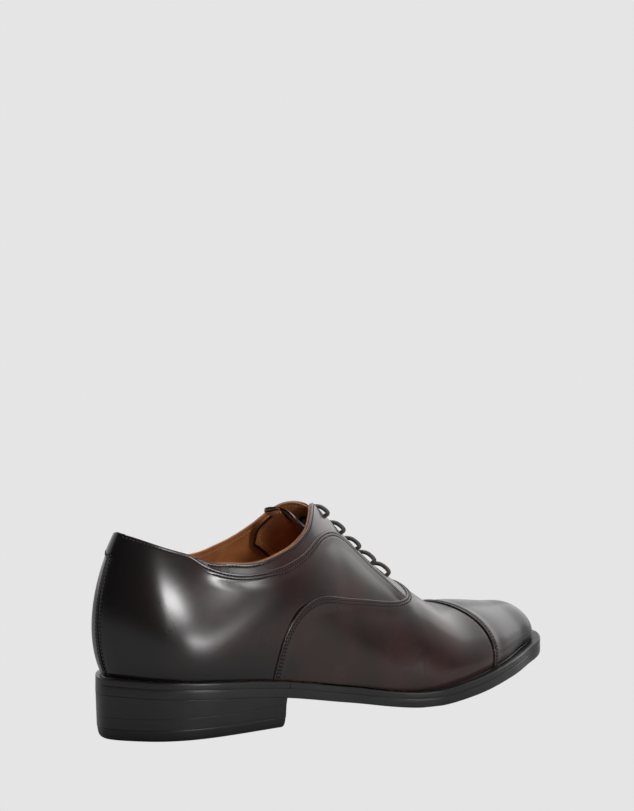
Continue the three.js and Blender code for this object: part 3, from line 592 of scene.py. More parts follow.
@dataclass(frozen=True)
class Finish:
    """A plain finish: one base colour with a fine, uneven surface."""

    name: str
    colour: str
    roughness: float
    metallic: float = 0
    grain_mm: float = 0.4
    grain_depth: float = 0.04
    slot: str = ""

    def material(self) -> bpy.types.Material:
        """Makes the material once, and finds it again after that."""
        found = bpy.data.materials.get(self.name)
        if found:
            return found
        made = bpy.data.materials.new(self.name)
        made.use_nodes = True
        tree = made.node_tree
        tree.nodes.clear()
        shader = add(tree, "BsdfPrincipled", {"Metallic": self.metallic})
        output = add(tree, "OutputMaterial", {"Surface": shader.outputs["BSDF"]})
        output.location = (400, 0)
        self.dress(tree, shader)
        return made

    def coordinates(self, tree: bpy.types.NodeTree) -> bpy.types.NodeSocket:
        """The place on the object, in metres."""
        return add(tree, "TexCoord").outputs["Object"]

    def dress(self, tree: bpy.types.NodeTree, shader: bpy.types.Node) -> None:
        """Fills the shader's inputs."""
        at = self.coordinates(tree)
        cloud = add(tree, "TexNoise", {"Vector": at, "Scale": per_mm(9), "Detail": 3.0}).outputs["Fac"]
        fine = {"Vector": at, "Scale": per_mm(self.grain_mm), "Detail": 4.0}
        grain = add(tree, "TexNoise", fine).outputs["Fac"]
        tone = add(tree, "Mix", {0: cloud, 6: linear(self.colour), 7: tuple(
            c * 0.72 for c in linear(self.colour)[:3]) + (1,)}, data_type="RGBA")
        tree.links.new(tone.outputs[2], shader.inputs["Base Color"])
        span = {"Value": grain, "To Min": self.roughness * 0.85, "To Max": min(1, self.roughness * 1.15)}
        rough = add(tree, "MapRange", {**span, "From Min": 0.3, "From Max": 0.7})
        tree.links.new(rough.outputs[0], shader.inputs["Roughness"])
        bump = add(tree, "Bump", {"Height": grain, "Strength": 0.5, "Distance": self.grain_depth * MM})
        tree.links.new(bump.outputs["Normal"], shader.inputs["Normal"])


@dataclass(frozen=True)
class PolishedCalf(Finish):
    """Box calf, waxed and brushed: a soft even gloss over dark brown, burnished black at the ends.

    The hide's pores are about 0.3 mm apart and hardly show under the wax, so they only break up the
    edges of the highlights.
    """

    deep: str = "231918"
    warm: str = "3d2724"
    burnished: str = "0e0e0f"
    heel_burnish: tuple[float, float] = (-0.149, -0.098)
    toe_burnish: tuple[float, float] = (0.06, 0.125)
    low_burnish: tuple[float, float] = (0.026, 0.052)

    def dress(self, tree: bpy.types.NodeTree, shader: bpy.types.Node) -> None:
        """Fills the shader's inputs."""
        at = self.coordinates(tree)
        split = add(tree, "SeparateXYZ", {0: at})
        x, z = split.outputs["X"], split.outputs["Z"]
        cloud = add(tree, "TexNoise", {"Vector": at, "Scale": per_mm(32), "Detail": 3.0, "Roughness": 0.5})
        tone = ramp(tree, cloud.outputs["Fac"], [(0.34, self.deep), (0.5, self.colour), (0.68, self.warm)])
        masks = []
        for value, (near, far) in ((x, self.heel_burnish), (z, self.low_burnish)):
            links = {"Value": value, "From Min": near, "From Max": far, "To Min": 1.0, "To Max": 0.0}
            masks.append(add(tree, "MapRange", links, interpolation_type="SMOOTHSTEP").outputs[0])
        fade = {"Value": x, "From Min": -0.09, "From Max": -0.02, "To Min": 1.0, "To Max": 0.0}
        low = add(tree, "MapRange", fade, interpolation_type="SMOOTHSTEP").outputs[0]
        heel_low = add(tree, "Math", {0: masks[1], 1: low}, operation="MULTIPLY").outputs[0]
        near, far = self.toe_burnish
        span = {"Value": x, "From Min": near, "From Max": far}
        toe = add(tree, "MapRange", span, interpolation_type="SMOOTHSTEP")
        dark = add(tree, "Math", {0: masks[0], 1: heel_low}, operation="MAXIMUM").outputs[0]
        dark = add(tree, "Math", {0: dark, 1: toe.outputs[0]}, operation="MAXIMUM").outputs[0]
        dark = add(tree, "Math", {0: dark, 1: 0.9}, operation="MULTIPLY").outputs[0]
        base = add(tree, "Mix", {0: dark, 6: tone, 7: linear(self.burnished)}, data_type="RGBA").outputs[2]
        tree.links.new(base, shader.inputs["Base Color"])
        pores = add(tree, "TexNoise", {"Vector": at, "Scale": per_mm(0.35), "Detail": 2.0}).outputs["Fac"]
        folds = add(tree, "TexNoise", {"Vector": at, "Scale": per_mm(18), "Detail": 1.0}).outputs["Fac"]
        links = {"Value": folds, "From Min": 0.3, "From Max": 0.7, "To Min": self.roughness * 0.92}
        rough = add(tree, "MapRange", {**links, "To Max": self.roughness * 1.1})
        tree.links.new(rough.outputs[0], shader.inputs["Roughness"])
        wave = add(tree, "Bump", {"Height": folds, "Strength": 0.5, "Distance": 0.03 * MM})
        links = {"Height": pores, "Strength": 0.3, "Distance": self.grain_depth * MM, "Normal": wave.outputs[0]}
        tree.links.new(add(tree, "Bump", links).outputs[0], shader.inputs["Normal"])
        shader.inputs["IOR"].default_value = 1.5
        shader.inputs["Coat Weight"].default_value = 0.5
        shader.inputs["Coat Roughness"].default_value = 0.2


@dataclass(frozen=True)
class LiningLeather(Finish):
    """Vegetable-tanned lining calf, drum-dyed tan: matt, with an uneven warm tone and small pores."""

    light: str = "bd7a44"

    def dress(self, tree: bpy.types.NodeTree, shader: bpy.types.Node) -> None:
        """Fills the shader's inputs."""
        at = self.coordinates(tree)
        cloud = add(tree, "TexNoise", {"Vector": at, "Scale": per_mm(14), "Detail": 4.0}).outputs["Fac"]
        tone = ramp(tree, cloud, [(0.32, self.colour), (0.68, self.light)])
        tree.links.new(tone, shader.inputs["Base Color"])
        pores = add(tree, "TexVoronoi", {"Vector": at, "Scale": per_mm(0.7)}, feature="F1").outputs["Distance"]
        bump = add(tree, "Bump", {"Height": pores, "Strength": 0.35, "Distance": self.grain_depth * MM})
        tree.links.new(bump.outputs[0], shader.inputs["Normal"])
        shader.inputs["Roughness"].default_value = self.roughness
        shader.inputs["Sheen Weight"].default_value = 0.15
        shader.inputs["Sheen Roughness"].default_value = 0.5


@dataclass(frozen=True)
class EdgeInk(Finish):
    """Sole leather, its edge set with black ink and wax: satin, with the faint lines of its layers."""

    layer_mm: float = 0.9

    def dress(self, tree: bpy.types.NodeTree, shader: bpy.types.Node) -> None:
        """Fills the shader's inputs."""
        at = self.coordinates(tree)
        stretched = add(tree, "Mapping", {"Vector": at, "Scale": (0.03, 0.03, 1.0)}).outputs[0]
        lines = add(tree, "TexNoise", {"Vector": stretched, "Scale": per_mm(self.layer_mm), "Detail": 3.0})
        grain = add(tree, "TexNoise", {"Vector": at, "Scale": per_mm(self.grain_mm), "Detail": 3.0})
        wear = add(tree, "TexNoise", {"Vector": at, "Scale": per_mm(12), "Detail": 3.0})
        pale = tuple(min(1, c * 1.7) for c in linear(self.colour)[:3]) + (1,)
        tone = add(tree, "Mix", {0: wear.outputs["Fac"], 6: linear(self.colour), 7: pale}, data_type="RGBA")
        tree.links.new(tone.outputs[2], shader.inputs["Base Color"])
        links = {"Value": wear.outputs["Fac"], "From Min": 0.3, "From Max": 0.7}
        links.update({"To Min": self.roughness * 0.85, "To Max": self.roughness * 1.2})
        tree.links.new(add(tree, "MapRange", links).outputs[0], shader.inputs["Roughness"])
        rows = add(tree, "Bump", {"Height": lines.outputs["Fac"], "Strength": 0.3, "Distance": 0.015 * MM})
        links = {"Height": grain.outputs["Fac"], "Strength": 0.4, "Distance": self.grain_depth * MM}
        links["Normal"] = rows.outputs[0]
        tree.links.new(add(tree, "Bump", links).outputs[0], shader.inputs["Normal"])
        shader.inputs["Coat Weight"].default_value = 0.4
        shader.inputs["Coat Roughness"].default_value = 0.25


@dataclass(frozen=True)
class WaxedCord(Finish):
    """Cotton braid, round and waxed: crossing strands with a dull shine, and painted shade in the grooves
    between them.
    """

    strand_mm: float = 1.1
    # Colour of the grooves between the strands: painted shade.
    shade: str = "2b201d"

    def dress(self, tree: bpy.types.NodeTree, shader: bpy.types.Node) -> None:
        """Fills the shader's inputs."""
        place = add(tree, "SeparateXYZ", {0: add(tree, "TexCoord").outputs["UV"]})
        along, around = place.outputs["X"], place.outputs["Y"]
        strands = []
        for hand in (1, -1):
            run = add(tree, "Math", {0: along, 1: 1 / self.strand_mm}, operation="MULTIPLY").outputs[0]
            turn = add(tree, "Math", {0: around, 1: 4.0 * hand}, operation="MULTIPLY").outputs[0]
            total = add(tree, "Math", {0: run, 1: turn}, operation="ADD").outputs[0]
            phase = add(tree, "Math", {0: total, 1: 2 * math.pi}, operation="MULTIPLY").outputs[0]
            strands.append(add(tree, "Math", {0: phase}, operation="SINE").outputs[0])
        braid = add(tree, "Math", {0: strands[0], 1: strands[1]}, operation="MULTIPLY").outputs[0]
        height = add(tree, "MapRange", {"Value": braid, "From Min": -1.0, "From Max": 1.0}).outputs[0]
        # The braid's low parts take the groove colour: painted shade, darker where the strands dip.
        tone = ramp(tree, height, [(0.15, self.shade), (0.75, self.colour)])
        tree.links.new(tone, shader.inputs["Base Color"])
        bump = add(tree, "Bump", {"Height": height, "Strength": 0.8, "Distance": 0.16 * MM})
        tree.links.new(bump.outputs[0], shader.inputs["Normal"])
        shader.inputs["Roughness"].default_value = self.roughness
        shader.inputs["Sheen Weight"].default_value = 0.2


@dataclass(frozen=True)
class Cork(Finish):
    """Ground cork bound with resin: pale and dark crumbs about two millimetres wide."""

    dark: str = "5c3f24"

    def dress(self, tree: bpy.types.NodeTree, shader: bpy.types.Node) -> None:
        """Fills the shader's inputs."""
        at = self.coordinates(tree)
        crumbs = add(tree, "TexVoronoi", {"Vector": at, "Scale": per_mm(2.2)}, feature="F1")
        tone = ramp(tree, crumbs.outputs["Distance"], [(0.1, self.colour), (0.8, self.dark)])
        tree.links.new(tone, shader.inputs["Base Color"])
        bump = add(tree, "Bump", {"Height": crumbs.outputs["Distance"], "Strength": 0.5, "Distance": 0.3 * MM})
        tree.links.new(bump.outputs[0], shader.inputs["Normal"])
        shader.inputs["Roughness"].default_value = self.roughness


CALF = PolishedCalf("box_calf_polished", "2f1e1c", 0.25, grain_depth=0.012, slot="upper_calf")
LINING = LiningLeather("lining_calf_drum_dyed", "96592b", 0.55, grain_depth=0.05, slot="lining_calf")
THREAD = Finish("polyester_thread_bonded", "4c3c37", 0.45, grain_mm=0.3, slot="upper_calf")
# Near-black for the needle holes and the back seam's groove: painted shade, not a colour of the leather.
NEEDLE_HOLE_SHADE = Finish("needle_hole_painted_shade", "050505", 0.95, slot="upper_calf")
LINING_THREAD = Finish("cotton_thread_natural", "c8a27c", 0.7, grain_mm=0.3, slot="lining_calf")
SOLE_EDGE = EdgeInk("sole_leather_inked", "171718", 0.34, slot="sole_edge")
SOLE_TREAD = EdgeInk("sole_leather_waxed_tread", "221d1b", 0.5, grain_mm=0.6, slot="sole_edge")
RUBBER = EdgeInk("rubber_moulded", "111112", 0.48, slot="top_lift_rubber")
BRASS = Finish("brass_ground", "b28f4e", 0.38, 1, grain_mm=0.5, slot="nail_brass")
STEEL = Finish("spring_steel_rolled", "8e9094", 0.35, 1, slot="shank_steel")
BOARD = Finish("leather_board_pressed", "9b7a55", 0.85, grain_mm=0.8, grain_depth=0.1, slot="stiffener")
CORK = Cork("cork_ground", "a67f52", 0.9, slot="cork")
LACE = WaxedCord("cotton_braid_waxed", "4a3c37", 0.5, slot="waxed_cotton")
AGLET = Finish("acetate_pressed", "2c211d", 0.3, slot="lace_tip")
EYELET = Finish("brass_lacquered", "2e2521", 0.4, 1, slot="eyelet_metal")


def settle(piece: bpy.types.Object, finish: Finish, nodes: list[str], body: str = BODY) -> bpy.types.Object:
    """Rides a piece on its body and hides the solids it stands for.

    Args:
        piece: The finished piece.
        finish: The finish it wears; not used.
        nodes: Solids that it replaces.
        body: The body that it moves with.

    Returns:
        The piece.
    """
    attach(piece, body)
    if nodes:
        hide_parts(*nodes)
    return piece


# ---- stitching ----


@dataclass
class Stitching:
    """Rows of lock stitches, each a short raised loop of thread that dives at both ends."""

    last: Last
    shop: Workshop
    pitch: float = 1.8
    length: float = 1.05
    radius: float = 0.32
    lift: float = 0.02
    rings: tuple[tuple[float, float, float], ...] = (
        (-0.5, 0.25, -0.26), (-0.38, 0.75, -0.05), (-0.15, 1, 0.05),
        (0.15, 1, 0.05), (0.38, 0.75, -0.05), (0.5, 0.25, -0.26),
    )
    sides: int = 6
    hole_sides: int = 8
    hole_long: float = 0.55
    hole_wide: float = 0.52
    hole_lift: float = 0.1

    def row(self, points: Array, normals: Array) -> tuple[Array, list]:
        """Makes the stitches of one row.

        Args:
            points: Points along the row, on the leather's surface.
            normals: Outward directions at them.

        Returns:
            Points and faces of the stitches.
        """
        both = evenly(np.hstack([points, normals]), 0.4)
        along = arc_lengths(both[:, :3])
        count = int(along[-1] / self.pitch)
        verts, faces = [], []
        for k in range(count):
            middle = (k + 0.5) * along[-1] / count
            for share, width, height in self.rings:
                at = middle + share * self.length
                here = np.array([np.interp(at, along, both[:, c]) for c in range(6)])
                ahead = np.array([np.interp(at + 0.2, along, both[:, c]) for c in range(3)])
                behind = np.array([np.interp(at - 0.2, along, both[:, c]) for c in range(3)])
                up = unit(here[3:])
                across = unit(np.cross(up, ahead - behind))
                centre = here[:3] + up * (self.lift + height)
                for j in range(self.sides):
                    a = 2 * math.pi * j / self.sides
                    spoke = across * math.cos(a) + up * math.sin(a) * 0.85
                    verts.append(centre + spoke * self.radius * width)
            first = k * len(self.rings) * self.sides
            for i in range(len(self.rings) - 1):
                for j in range(self.sides):
                    a, b = first + i * self.sides + j, first + i * self.sides + (j + 1) % self.sides
                    faces.append([a, b, b + self.sides, a + self.sides])
            faces.append([first + j for j in range(self.sides)][::-1])
            end = first + (len(self.rings) - 1) * self.sides
            faces.append([end + j for j in range(self.sides)])
        return np.array(verts).reshape(-1, 3), faces

    def holes(self, points: Array, normals: Array) -> tuple[Array, list]:
        """Makes the needle holes between the stitches of one row as flat closed near-black discs: painted shade
        where the thread dives into the leather.

        Args:
            points: Points along the row, on the leather's surface.
            normals: Outward directions at them.

        Returns:
            Points and faces of the holes.
        """
        both = evenly(np.hstack([points, normals]), 0.4)
        along = arc_lengths(both[:, :3])
        count = int(along[-1] / self.pitch)
        verts, faces = [], []
        for k in range(count + 1):
            at = k * along[-1] / count
            here = np.array([np.interp(at, along, both[:, c]) for c in range(6)])
            axes = [both[:, axis] for axis in range(3)]
            ahead = np.array([np.interp(at + 0.4, along, a) - np.interp(at - 0.4, along, a) for a in axes])
            up = unit(here[3:])
            ahead = unit(ahead - up * np.dot(ahead, up))
            across = np.cross(up, ahead)
            first = len(verts)
            here[:3] += up * self.hole_lift
            verts += [here[:3] + up * 0.05, here[:3] - up * 0.2]
            for j in range(self.hole_sides):
                a = 2 * math.pi * j / self.hole_sides
                reach = ahead * (math.cos(a) * self.hole_long) + across * (math.sin(a) * self.hole_wide)
                verts.append(here[:3] + reach)
            for j in range(self.hole_sides):
                a, b = first + 2 + j, first + 2 + (j + 1) % self.hole_sides
                faces += [[first, a, b], [first + 1, b, a]]
        return np.array(verts), faces

    def sew(
        self, name: str, rows: list[tuple[Array, Array]], finish: Finish = THREAD, body: str = BODY
    ) -> None:
        """Makes one object of several rows.

        Args:
            name: The object's name.
            rows: Points and outward directions of each row.
            finish: The thread.
            body: The body that the thread moves with.
        """
        verts, faces, count = [], [], 0
        for points, normals in rows:
            own, quads = self.row(points, normals)
            verts.append(own)
            faces += [[i + count for i in quad] for quad in quads]
            count += len(own)
        piece = self.shop.piece(name, np.vstack(verts), faces, finish)
        settle(piece, finish, [], body)
        if finish is not THREAD:
            return
        # Near-black discs at the needle holes: painted shade where the thread dives in.
        verts, faces, count = [], [], 0
        for points, normals in rows:
            own, triangles = self.holes(points, normals)
            verts.append(own)
            faces += [[i + count for i in triangle] for triangle in triangles]
            count += len(own)
        piece = self.shop.piece(name + "_holes", np.vstack(verts), faces, NEEDLE_HOLE_SHADE)
        settle(piece, NEEDLE_HOLE_SHADE, [], body)

    def on_last(self, s: Array, w: Array, height: Array | float) -> tuple[Array, Array]:
        """Points and outward directions of a row that lies on the last."""
        return self.last.layer(s, w, height), self.last.normal(s, w)


# ---- the upper ----

EDGE_STEPS = (0, 0.05, 0.15, 0.3, 0.5, 0.8, 1.15, 1.4, 1.6, 1.9, 2.3, 2.7, 2.9, 3.1, 3.4, 3.9, 4.7, 6.3, 8.5)
FIRST_ROW = 1.5
SECOND_ROW = 3.0


def rounded(distance: Array | float, radius: float) -> Array:
    """How far a rounded edge falls at a distance from it."""
    rest = np.clip(radius - np.asarray(distance, float), 0, radius)
    return radius - np.sqrt(radius**2 - rest**2)


def dent(distance: Array | float, row: float, depth: float = 0.16) -> Array:
    """How far the thread pulls the leather in, at a distance from a row."""
    return depth * np.exp(-(((np.asarray(distance, float) - row) / 0.3) ** 2))


def eased(values: Array, reach: int) -> Array:
    """Values with their corners rounded over a number of neighbours each way."""
    window = np.hanning(2 * reach + 3)[1:-1]
    padded = np.concatenate([np.full(reach, values[0]), values, np.full(reach, values[-1])])
    return np.convolve(padded, window / window.sum(), mode="valid")


@dataclass
class Upper:
    """The outer leather: quarters, facings, vamp, toe cap and heel tab, with their seams."""

    last: Last
    pattern: Pattern
    shop: Workshop
    stitching: Stitching
    thickness: float = 1.3
    thin: float = 0.8
    lift: float = 0.75
    edge_radius: float = 0.45
    top_radius: float = 0.4
    lap: float = 7

    def seam_line(self, seam_at, count: int, ease: int) -> tuple[Array, Array]:
        """Draws a seam that crosses the ridge, from the outer to the inner feather line.

        Args:
            seam_at: Gives the seam's s at t.
            count: Points on the line.
            ease: How softly the line crosses the ridge, in neighbours of 400.

        Returns:
            The line's s and w.
        """
        w = np.linspace(-(1 - self.pattern.base), 1 - self.pattern.base, 801)
        s = eased(seam_at(1 - np.abs(w)), ease)
        along = arc_lengths(self.last.layer(s, w, 0.0))
        goal = np.linspace(0, along[-1], count)
        return np.interp(goal, along, s), np.interp(goal, along, w)

    def lapped_height(self, distance: float) -> float:
        """Height of a lapped panel's face, at a distance from its edge."""
        raised = self.lift * (1 - smooth(distance, 1.5, 8.5))
        sewn = dent(distance, FIRST_ROW) + dent(distance, SECOND_ROW)
        return raised - rounded(distance, self.edge_radius) - sewn

    def panel(
        self, name: str, lines: list, heights: list, finish: Finish, thicknesses: list
    ) -> bpy.types.Object:
        """Makes a panel from lines across it.

        Args:
            name: The piece's name.
            lines: Pairs of s and w, one pair for each line.
            heights: Height of the outer face on each line.
            finish: The leather.
            thicknesses: Thickness on each line.

        Returns:
            The panel.
        """
        over = np.array([self.last.layer(s, w, h) for (s, w), h in zip(lines, heights)])
        under = [self.last.layer(s, w, h - d) for (s, w), h, d in zip(lines, heights, thicknesses)]
        return self.shop.sheet(name, np.array(under), over, finish)

    def front(
        self, name: str, seam: tuple, rest: list, rest_heights: list, finish: Finish
    ) -> bpy.types.Object:
        """Makes a panel that laps over its neighbour behind a seam.

        Args:
            name: The piece's name.
            seam: The seam's s and w, along which the panel's edge runs.
            rest: Lines after the edge zone, towards the toe.
            rest_heights: Height on each of those lines.
            finish: The leather.

        Returns:
            The panel.
        """
        floor = 1 - self.pattern.base
        lines, heights, thick = [], [], []
        for d in EDGE_STEPS:
            s, w = self.last.beside(*seam, -d)
            lines.append((s, np.clip(w, -floor, floor)))
            heights.append(np.full_like(s, self.lapped_height(d)))
            thick.append(max(0.5, self.lapped_height(d) + 0.2 - 1.1 * smooth(d, 2.5, 8)))
        lines += rest
        heights += rest_heights
        thick += [self.thickness] * len(rest)
        return self.panel(name, lines, heights, finish, thick)

    def cap_line(self) -> tuple[Array, Array]:
        """The cap seam."""
        return self.seam_line(self.pattern.cap_at, 150, 90)

    def vamp(self) -> None:
        """Makes the vamp, which laps over the quarters and runs under the cap."""
        seam = self.seam_line(self.pattern.vamp_at, 230, 60)
        last_s, last_w = self.last.beside(*seam, -EDGE_STEPS[-1])
        floor = 1 - self.pattern.base
        last_w = np.clip(last_w, -floor, floor)
        cap_s, cap_w = self.cap_line()
        end_w = last_w
        end_s = np.interp(end_w, cap_w, cap_s)
        stops = [*np.linspace(0, 1, 52)[1:-1]]
        rest = [(last_s + q * (end_s - self.last.share(1.5) - last_s), last_w) for q in stops]
        heights = [np.zeros_like(last_s) for _ in stops]
        tails = ((-1.0, 0), (-0.4, -0.06), (0.2, -0.4), (0.9, -0.75), (2.5, -0.85), (self.lap, -0.9))
        rest += [(end_s + self.last.share(mm), end_w) for mm, _ in tails]
        heights += [np.full_like(last_s, h) for _, h in tails]
        piece = self.front("vamp_leather", seam, rest, heights, CALF)
        settle(piece, CALF, ["vamp"])
        self.sew_seam("vamp_stitching", seam, (FIRST_ROW, SECOND_ROW))

    def sew_seam(self, name: str, seam: tuple, rows: tuple[float, ...]) -> None:
        """Sews rows of stitches beside a lapped seam."""
        sewn = []
        for row in rows:
            s, w = self.last.beside(*seam, -row)
            keep = np.abs(w) < 1 - 0.012
            sewn.append(self.stitching.on_last(s[keep], w[keep], self.lapped_height(row) + 0.08))
        self.stitching.sew(name, sewn)

    def toe_cap(self) -> None:
        """Makes the plain toe cap."""
        seam = self.cap_line()
        s0, w0 = self.last.beside(*seam, -EDGE_STEPS[-1])
        floor = 1 - self.pattern.base
        w0 = np.clip(w0, -floor, floor)
        stops = 1 - (1 - np.linspace(0, 1, 70)[1:]) ** 1.25
        rest = [(s0 + q * (0.9992 - s0), w0) for q in stops]
        heights = [np.zeros_like(s0) for _ in stops]
        piece = self.front("toe_cap_leather", seam, rest, heights, CALF)
        settle(piece, CALF, ["toe_cap"])
        self.sew_seam("cap_stitching", seam, (FIRST_ROW, SECOND_ROW))

    def top_rows(self, side: Side, s: Array, top: Array, bottom: Array) -> tuple[list, list]:
        """Lines below a top edge, by true distance, kept above a bottom line.

        Args:
            side: The side of the shoe.
            s: The top edge's shares.
            top: The top edge's t.
            bottom: The bottom line's t at each s.

        Returns:
            The lines, and each line's distance from the edge.
        """
        w = side.value * (1 - top)
        low_w = side.value * (1 - bottom)
        room = np.linalg.norm(self.last.layer(s, w, 0.0) - self.last.layer(s, low_w, 0.0), axis=-1)
        lines, drops = [], []
        for k, step in enumerate(EDGE_STEPS):
            drop = np.minimum(step, room * 0.85 * k / (len(EDGE_STEPS) - 1))
            ds, dw = self.last.beside(s, w, side.value * drop)
            lines.append((np.clip(ds, 0, 1), dw))
            drops.append(drop)
        return lines, drops

    def quarter(self, side: Side) -> None:
        """Makes one quarter, from the back seam to under the vamp."""
        p, last = self.pattern, self.last
        near = [last.share(mm) for mm in (0, 0.12, 0.28, 0.45, 0.7, 1.1, 1.7, 2.4)]
        back, curve, front = (0.01, 0.255, 80), (0.2575, 0.345, 56), (0.35, 0.596, 76)
        s = np.array([*near, *np.linspace(*back), *np.linspace(*curve), *np.linspace(*front)])
        top = p.quarter_top(side.value, s)
        behind = s - last.share(5)
        bottom = np.where(behind < p.vamp_seam[0][1], p.base, np.maximum(p.base, p.vamp_climb(behind)))
        bottom = np.minimum(bottom, top - 0.004)
        edge_lines, drops = self.top_rows(side, s, top, bottom)
        from_back = s * last.total
        groove = 0.6 * np.exp(-((from_back / 0.6) ** 2))
        band = smooth(s, p.band_start - 0.01, p.band_start + 0.03)
        lines, heights = [], []
        for (ls, lw), drop in zip(edge_lines, drops):
            raised = band * self.lift * (1 - smooth(drop, 1.5, 8.5))
            rows = dent(drop, FIRST_ROW) + dent(drop, SECOND_ROW) * band
            lines.append((ls, lw))
            heights.append(raised - rounded(drop, self.top_radius) - rows - groove)
        last_s, last_w = lines[-1]
        low_w = side.value * (1 - bottom)
        for q in np.linspace(0, 1, 56)[1:]:
            ls, lw = last_s + q * (s - last_s), last_w + q * (low_w - last_w)
            past = (ls - p.vamp_at(1 - np.abs(lw))) * last.total
            lines.append((ls, lw))
            heights.append(-groove - self.thin * smooth(past, 1.2, 4))
        lines, heights = lines[::-1], heights[::-1]
        thick = [1.0] * len(lines)
        name = side.name.lower()
        piece = self.panel(f"quarter_leather_{name}", lines, heights, CALF, thick)
        settle(piece, CALF, [f"quarter_{name}"])
        self.sew_collar(side)

    def sew_collar(self, side: Side) -> None:
        """Sews the rows along a quarter's top edge and a band's topline."""
        p, last = self.pattern, self.last
        s = np.linspace(0.006, 0.6, 700)
        top = p.quarter_top(side.value, s)
        w = side.value * (1 - top)
        band = smooth(s, p.band_start - 0.01, p.band_start + 0.03)
        rows = []
        for row in (FIRST_ROW, SECOND_ROW):
            ls, lw = last.beside(s, w, side.value * row)
            keep = ls < p.vamp_at(1 - np.abs(lw)) - last.share(0.6)
            if row == SECOND_ROW:
                keep &= s > p.band_start + 0.012
            height = band * self.lift * (1 - smooth(row, 1.5, 8.5)) - 0.14
            rows.append(self.stitching.on_last(ls[keep], lw[keep], height[keep]))
        s = np.linspace(p.band_start + 0.004, 0.62, 600)
        top = p.edge_t(side.value, s)
        ls, lw = last.beside(s, side.value * (1 - top), side.value * FIRST_ROW)
        keep = ls < p.vamp_at(1 - np.abs(lw)) - last.share(0.6)
        rows.append(self.stitching.on_last(ls[keep], lw[keep], np.full(int(keep.sum()), -0.14)))
        self.stitching.sew(f"collar_stitching_{side.name.lower()}", rows)

    def facing(self, side: Side) -> None:
        """Makes one collar band with its laced facing."""
        p, last = self.pattern, self.last
        collar, curve = np.linspace(0.15, 0.36, 90), np.linspace(0.363, 0.46, 80)
        laced, foot = np.linspace(0.463, 0.575, 60), np.linspace(0.577, 0.632, 50)
        s = np.array([*collar, *curve, *laced, *foot, *np.linspace(0.634, 0.64, 3)])
        top = p.edge_t(side.value, s)
        seam = np.minimum(through(p.collar_seam, s), top - 0.004)
        hidden = seam - p.rib_share(side.value, s, seam, 4.0)
        edge_lines, drops = self.top_rows(side, s, top, seam)
        lines, heights = [], []
        for (ls, lw), drop in zip(edge_lines, drops):
            past = (ls - p.vamp_at(1 - np.abs(lw))) * last.total
            lines.append((ls, lw))
            skived = self.thin * smooth(past, 1.2, 4)
            heights.append(-rounded(drop, self.top_radius) - dent(drop, FIRST_ROW) - skived)
        last_s, last_w = lines[-1]
        for t_end, stops in ((seam, np.linspace(0, 1, 16)[1:]), (hidden, np.linspace(0, 1, 4)[1:])):
            low_w = side.value * (1 - t_end)
            start_s, start_w = lines[-1]
            for q in stops:
                ls, lw = start_s + q * (s - start_s), start_w + q * (low_w - start_w)
                under = 1.0 if t_end is hidden else 0.0
                past = (ls - p.vamp_at(1 - np.abs(lw))) * last.total
                lines.append((ls, lw))
                sunk = self.thin * np.maximum(smooth(past, 1.2, 4), under * smooth(q, 0, 0.6))
                heights.append(np.zeros_like(ls) - sunk)
        lines, heights = lines[::-1], heights[::-1]
        name = side.name.lower()
        piece = self.panel(f"facing_leather_{name}", lines, heights, CALF, [1.0] * len(lines))
        settle(piece, CALF, [f"facing_{name}"])

    def heel_tab(self) -> None:
        """Makes the tab that closes the back seam: flush on the outer side, stepped on the inner."""
        a = np.linspace(-0.02, 0.026, 60)
        rows = [*np.linspace(0, 0.12, 10), *np.linspace(0.15, 0.9, 12), *np.linspace(0.92, 1, 8)]
        step = smooth(a, -0.016, -0.002)
        from_edge = (0.026 - a) * self.last.total
        topline = through(self.pattern.topline, np.abs(a))
        drop = 13 - 2.5 * smooth(a, 0.004, 0.026)
        lines, heights = [], []
        for v in rows:
            t = topline - (1 - v) * self.pattern.rib_share(1, np.abs(a), topline - 0.05, 1.0) * drop + 0.001
            edge = np.minimum(np.minimum(v * drop, (1 - v) * drop), from_edge)
            side = np.where(a < 0, -1.0, 1.0)
            lines.append((np.abs(a), side * (1 - t)))
            fall = rounded(edge, 0.35) + dent(v * drop, 1.4)
            heights.append(0.03 + step * (0.62 - fall) - (1 - step) * 0.02)
        over = np.array([self.last.layer(s, w, h) for (s, w), h in zip(lines, heights)])
        under = np.array([self.last.layer(s, w, -0.3) for s, w in lines])
        piece = self.shop.sheet("heel_tab_leather", under, over, CALF)
        settle(piece, CALF, ["heel_tab"])
        keep = a > -0.008
        t = topline - (1 - 1.4 / drop) * self.pattern.rib_share(1, np.abs(a), topline - 0.05, 1.0) * drop
        side = np.where(a < 0, -1.0, 1.0)
        row = self.stitching.on_last(np.abs(a)[keep], (side * (1 - t))[keep], (0.03 + step * 0.56)[keep])
        v = np.linspace(0.03, 0.54, 300)
        rows = [row]
        for side in Side:
            beside = np.full_like(v, self.last.share(1.3))
            rows.append(self.stitching.on_last(beside, side.value * (1 - v), np.full_like(v, -0.05)))
        self.stitching.sew("back_stitching", rows)
        seam = self.last.layer(np.zeros_like(v), -(1 - v), -0.42)
        settle(self.shop.tube("back_seam_shadow", evenly(seam, 1.0), 0.4, NEEDLE_HOLE_SHADE, 8), NEEDLE_HOLE_SHADE, [])

    def build(self) -> None:
        """Makes every outer panel."""
        for side in Side:
            self.quarter(side)
            self.facing(side)
            log.info("quarter, collar band and facing made, %s side", side.name.lower())
        self.vamp()
        self.toe_cap()
        self.heel_tab()
        log.info("vamp, toe cap and heel tab made")


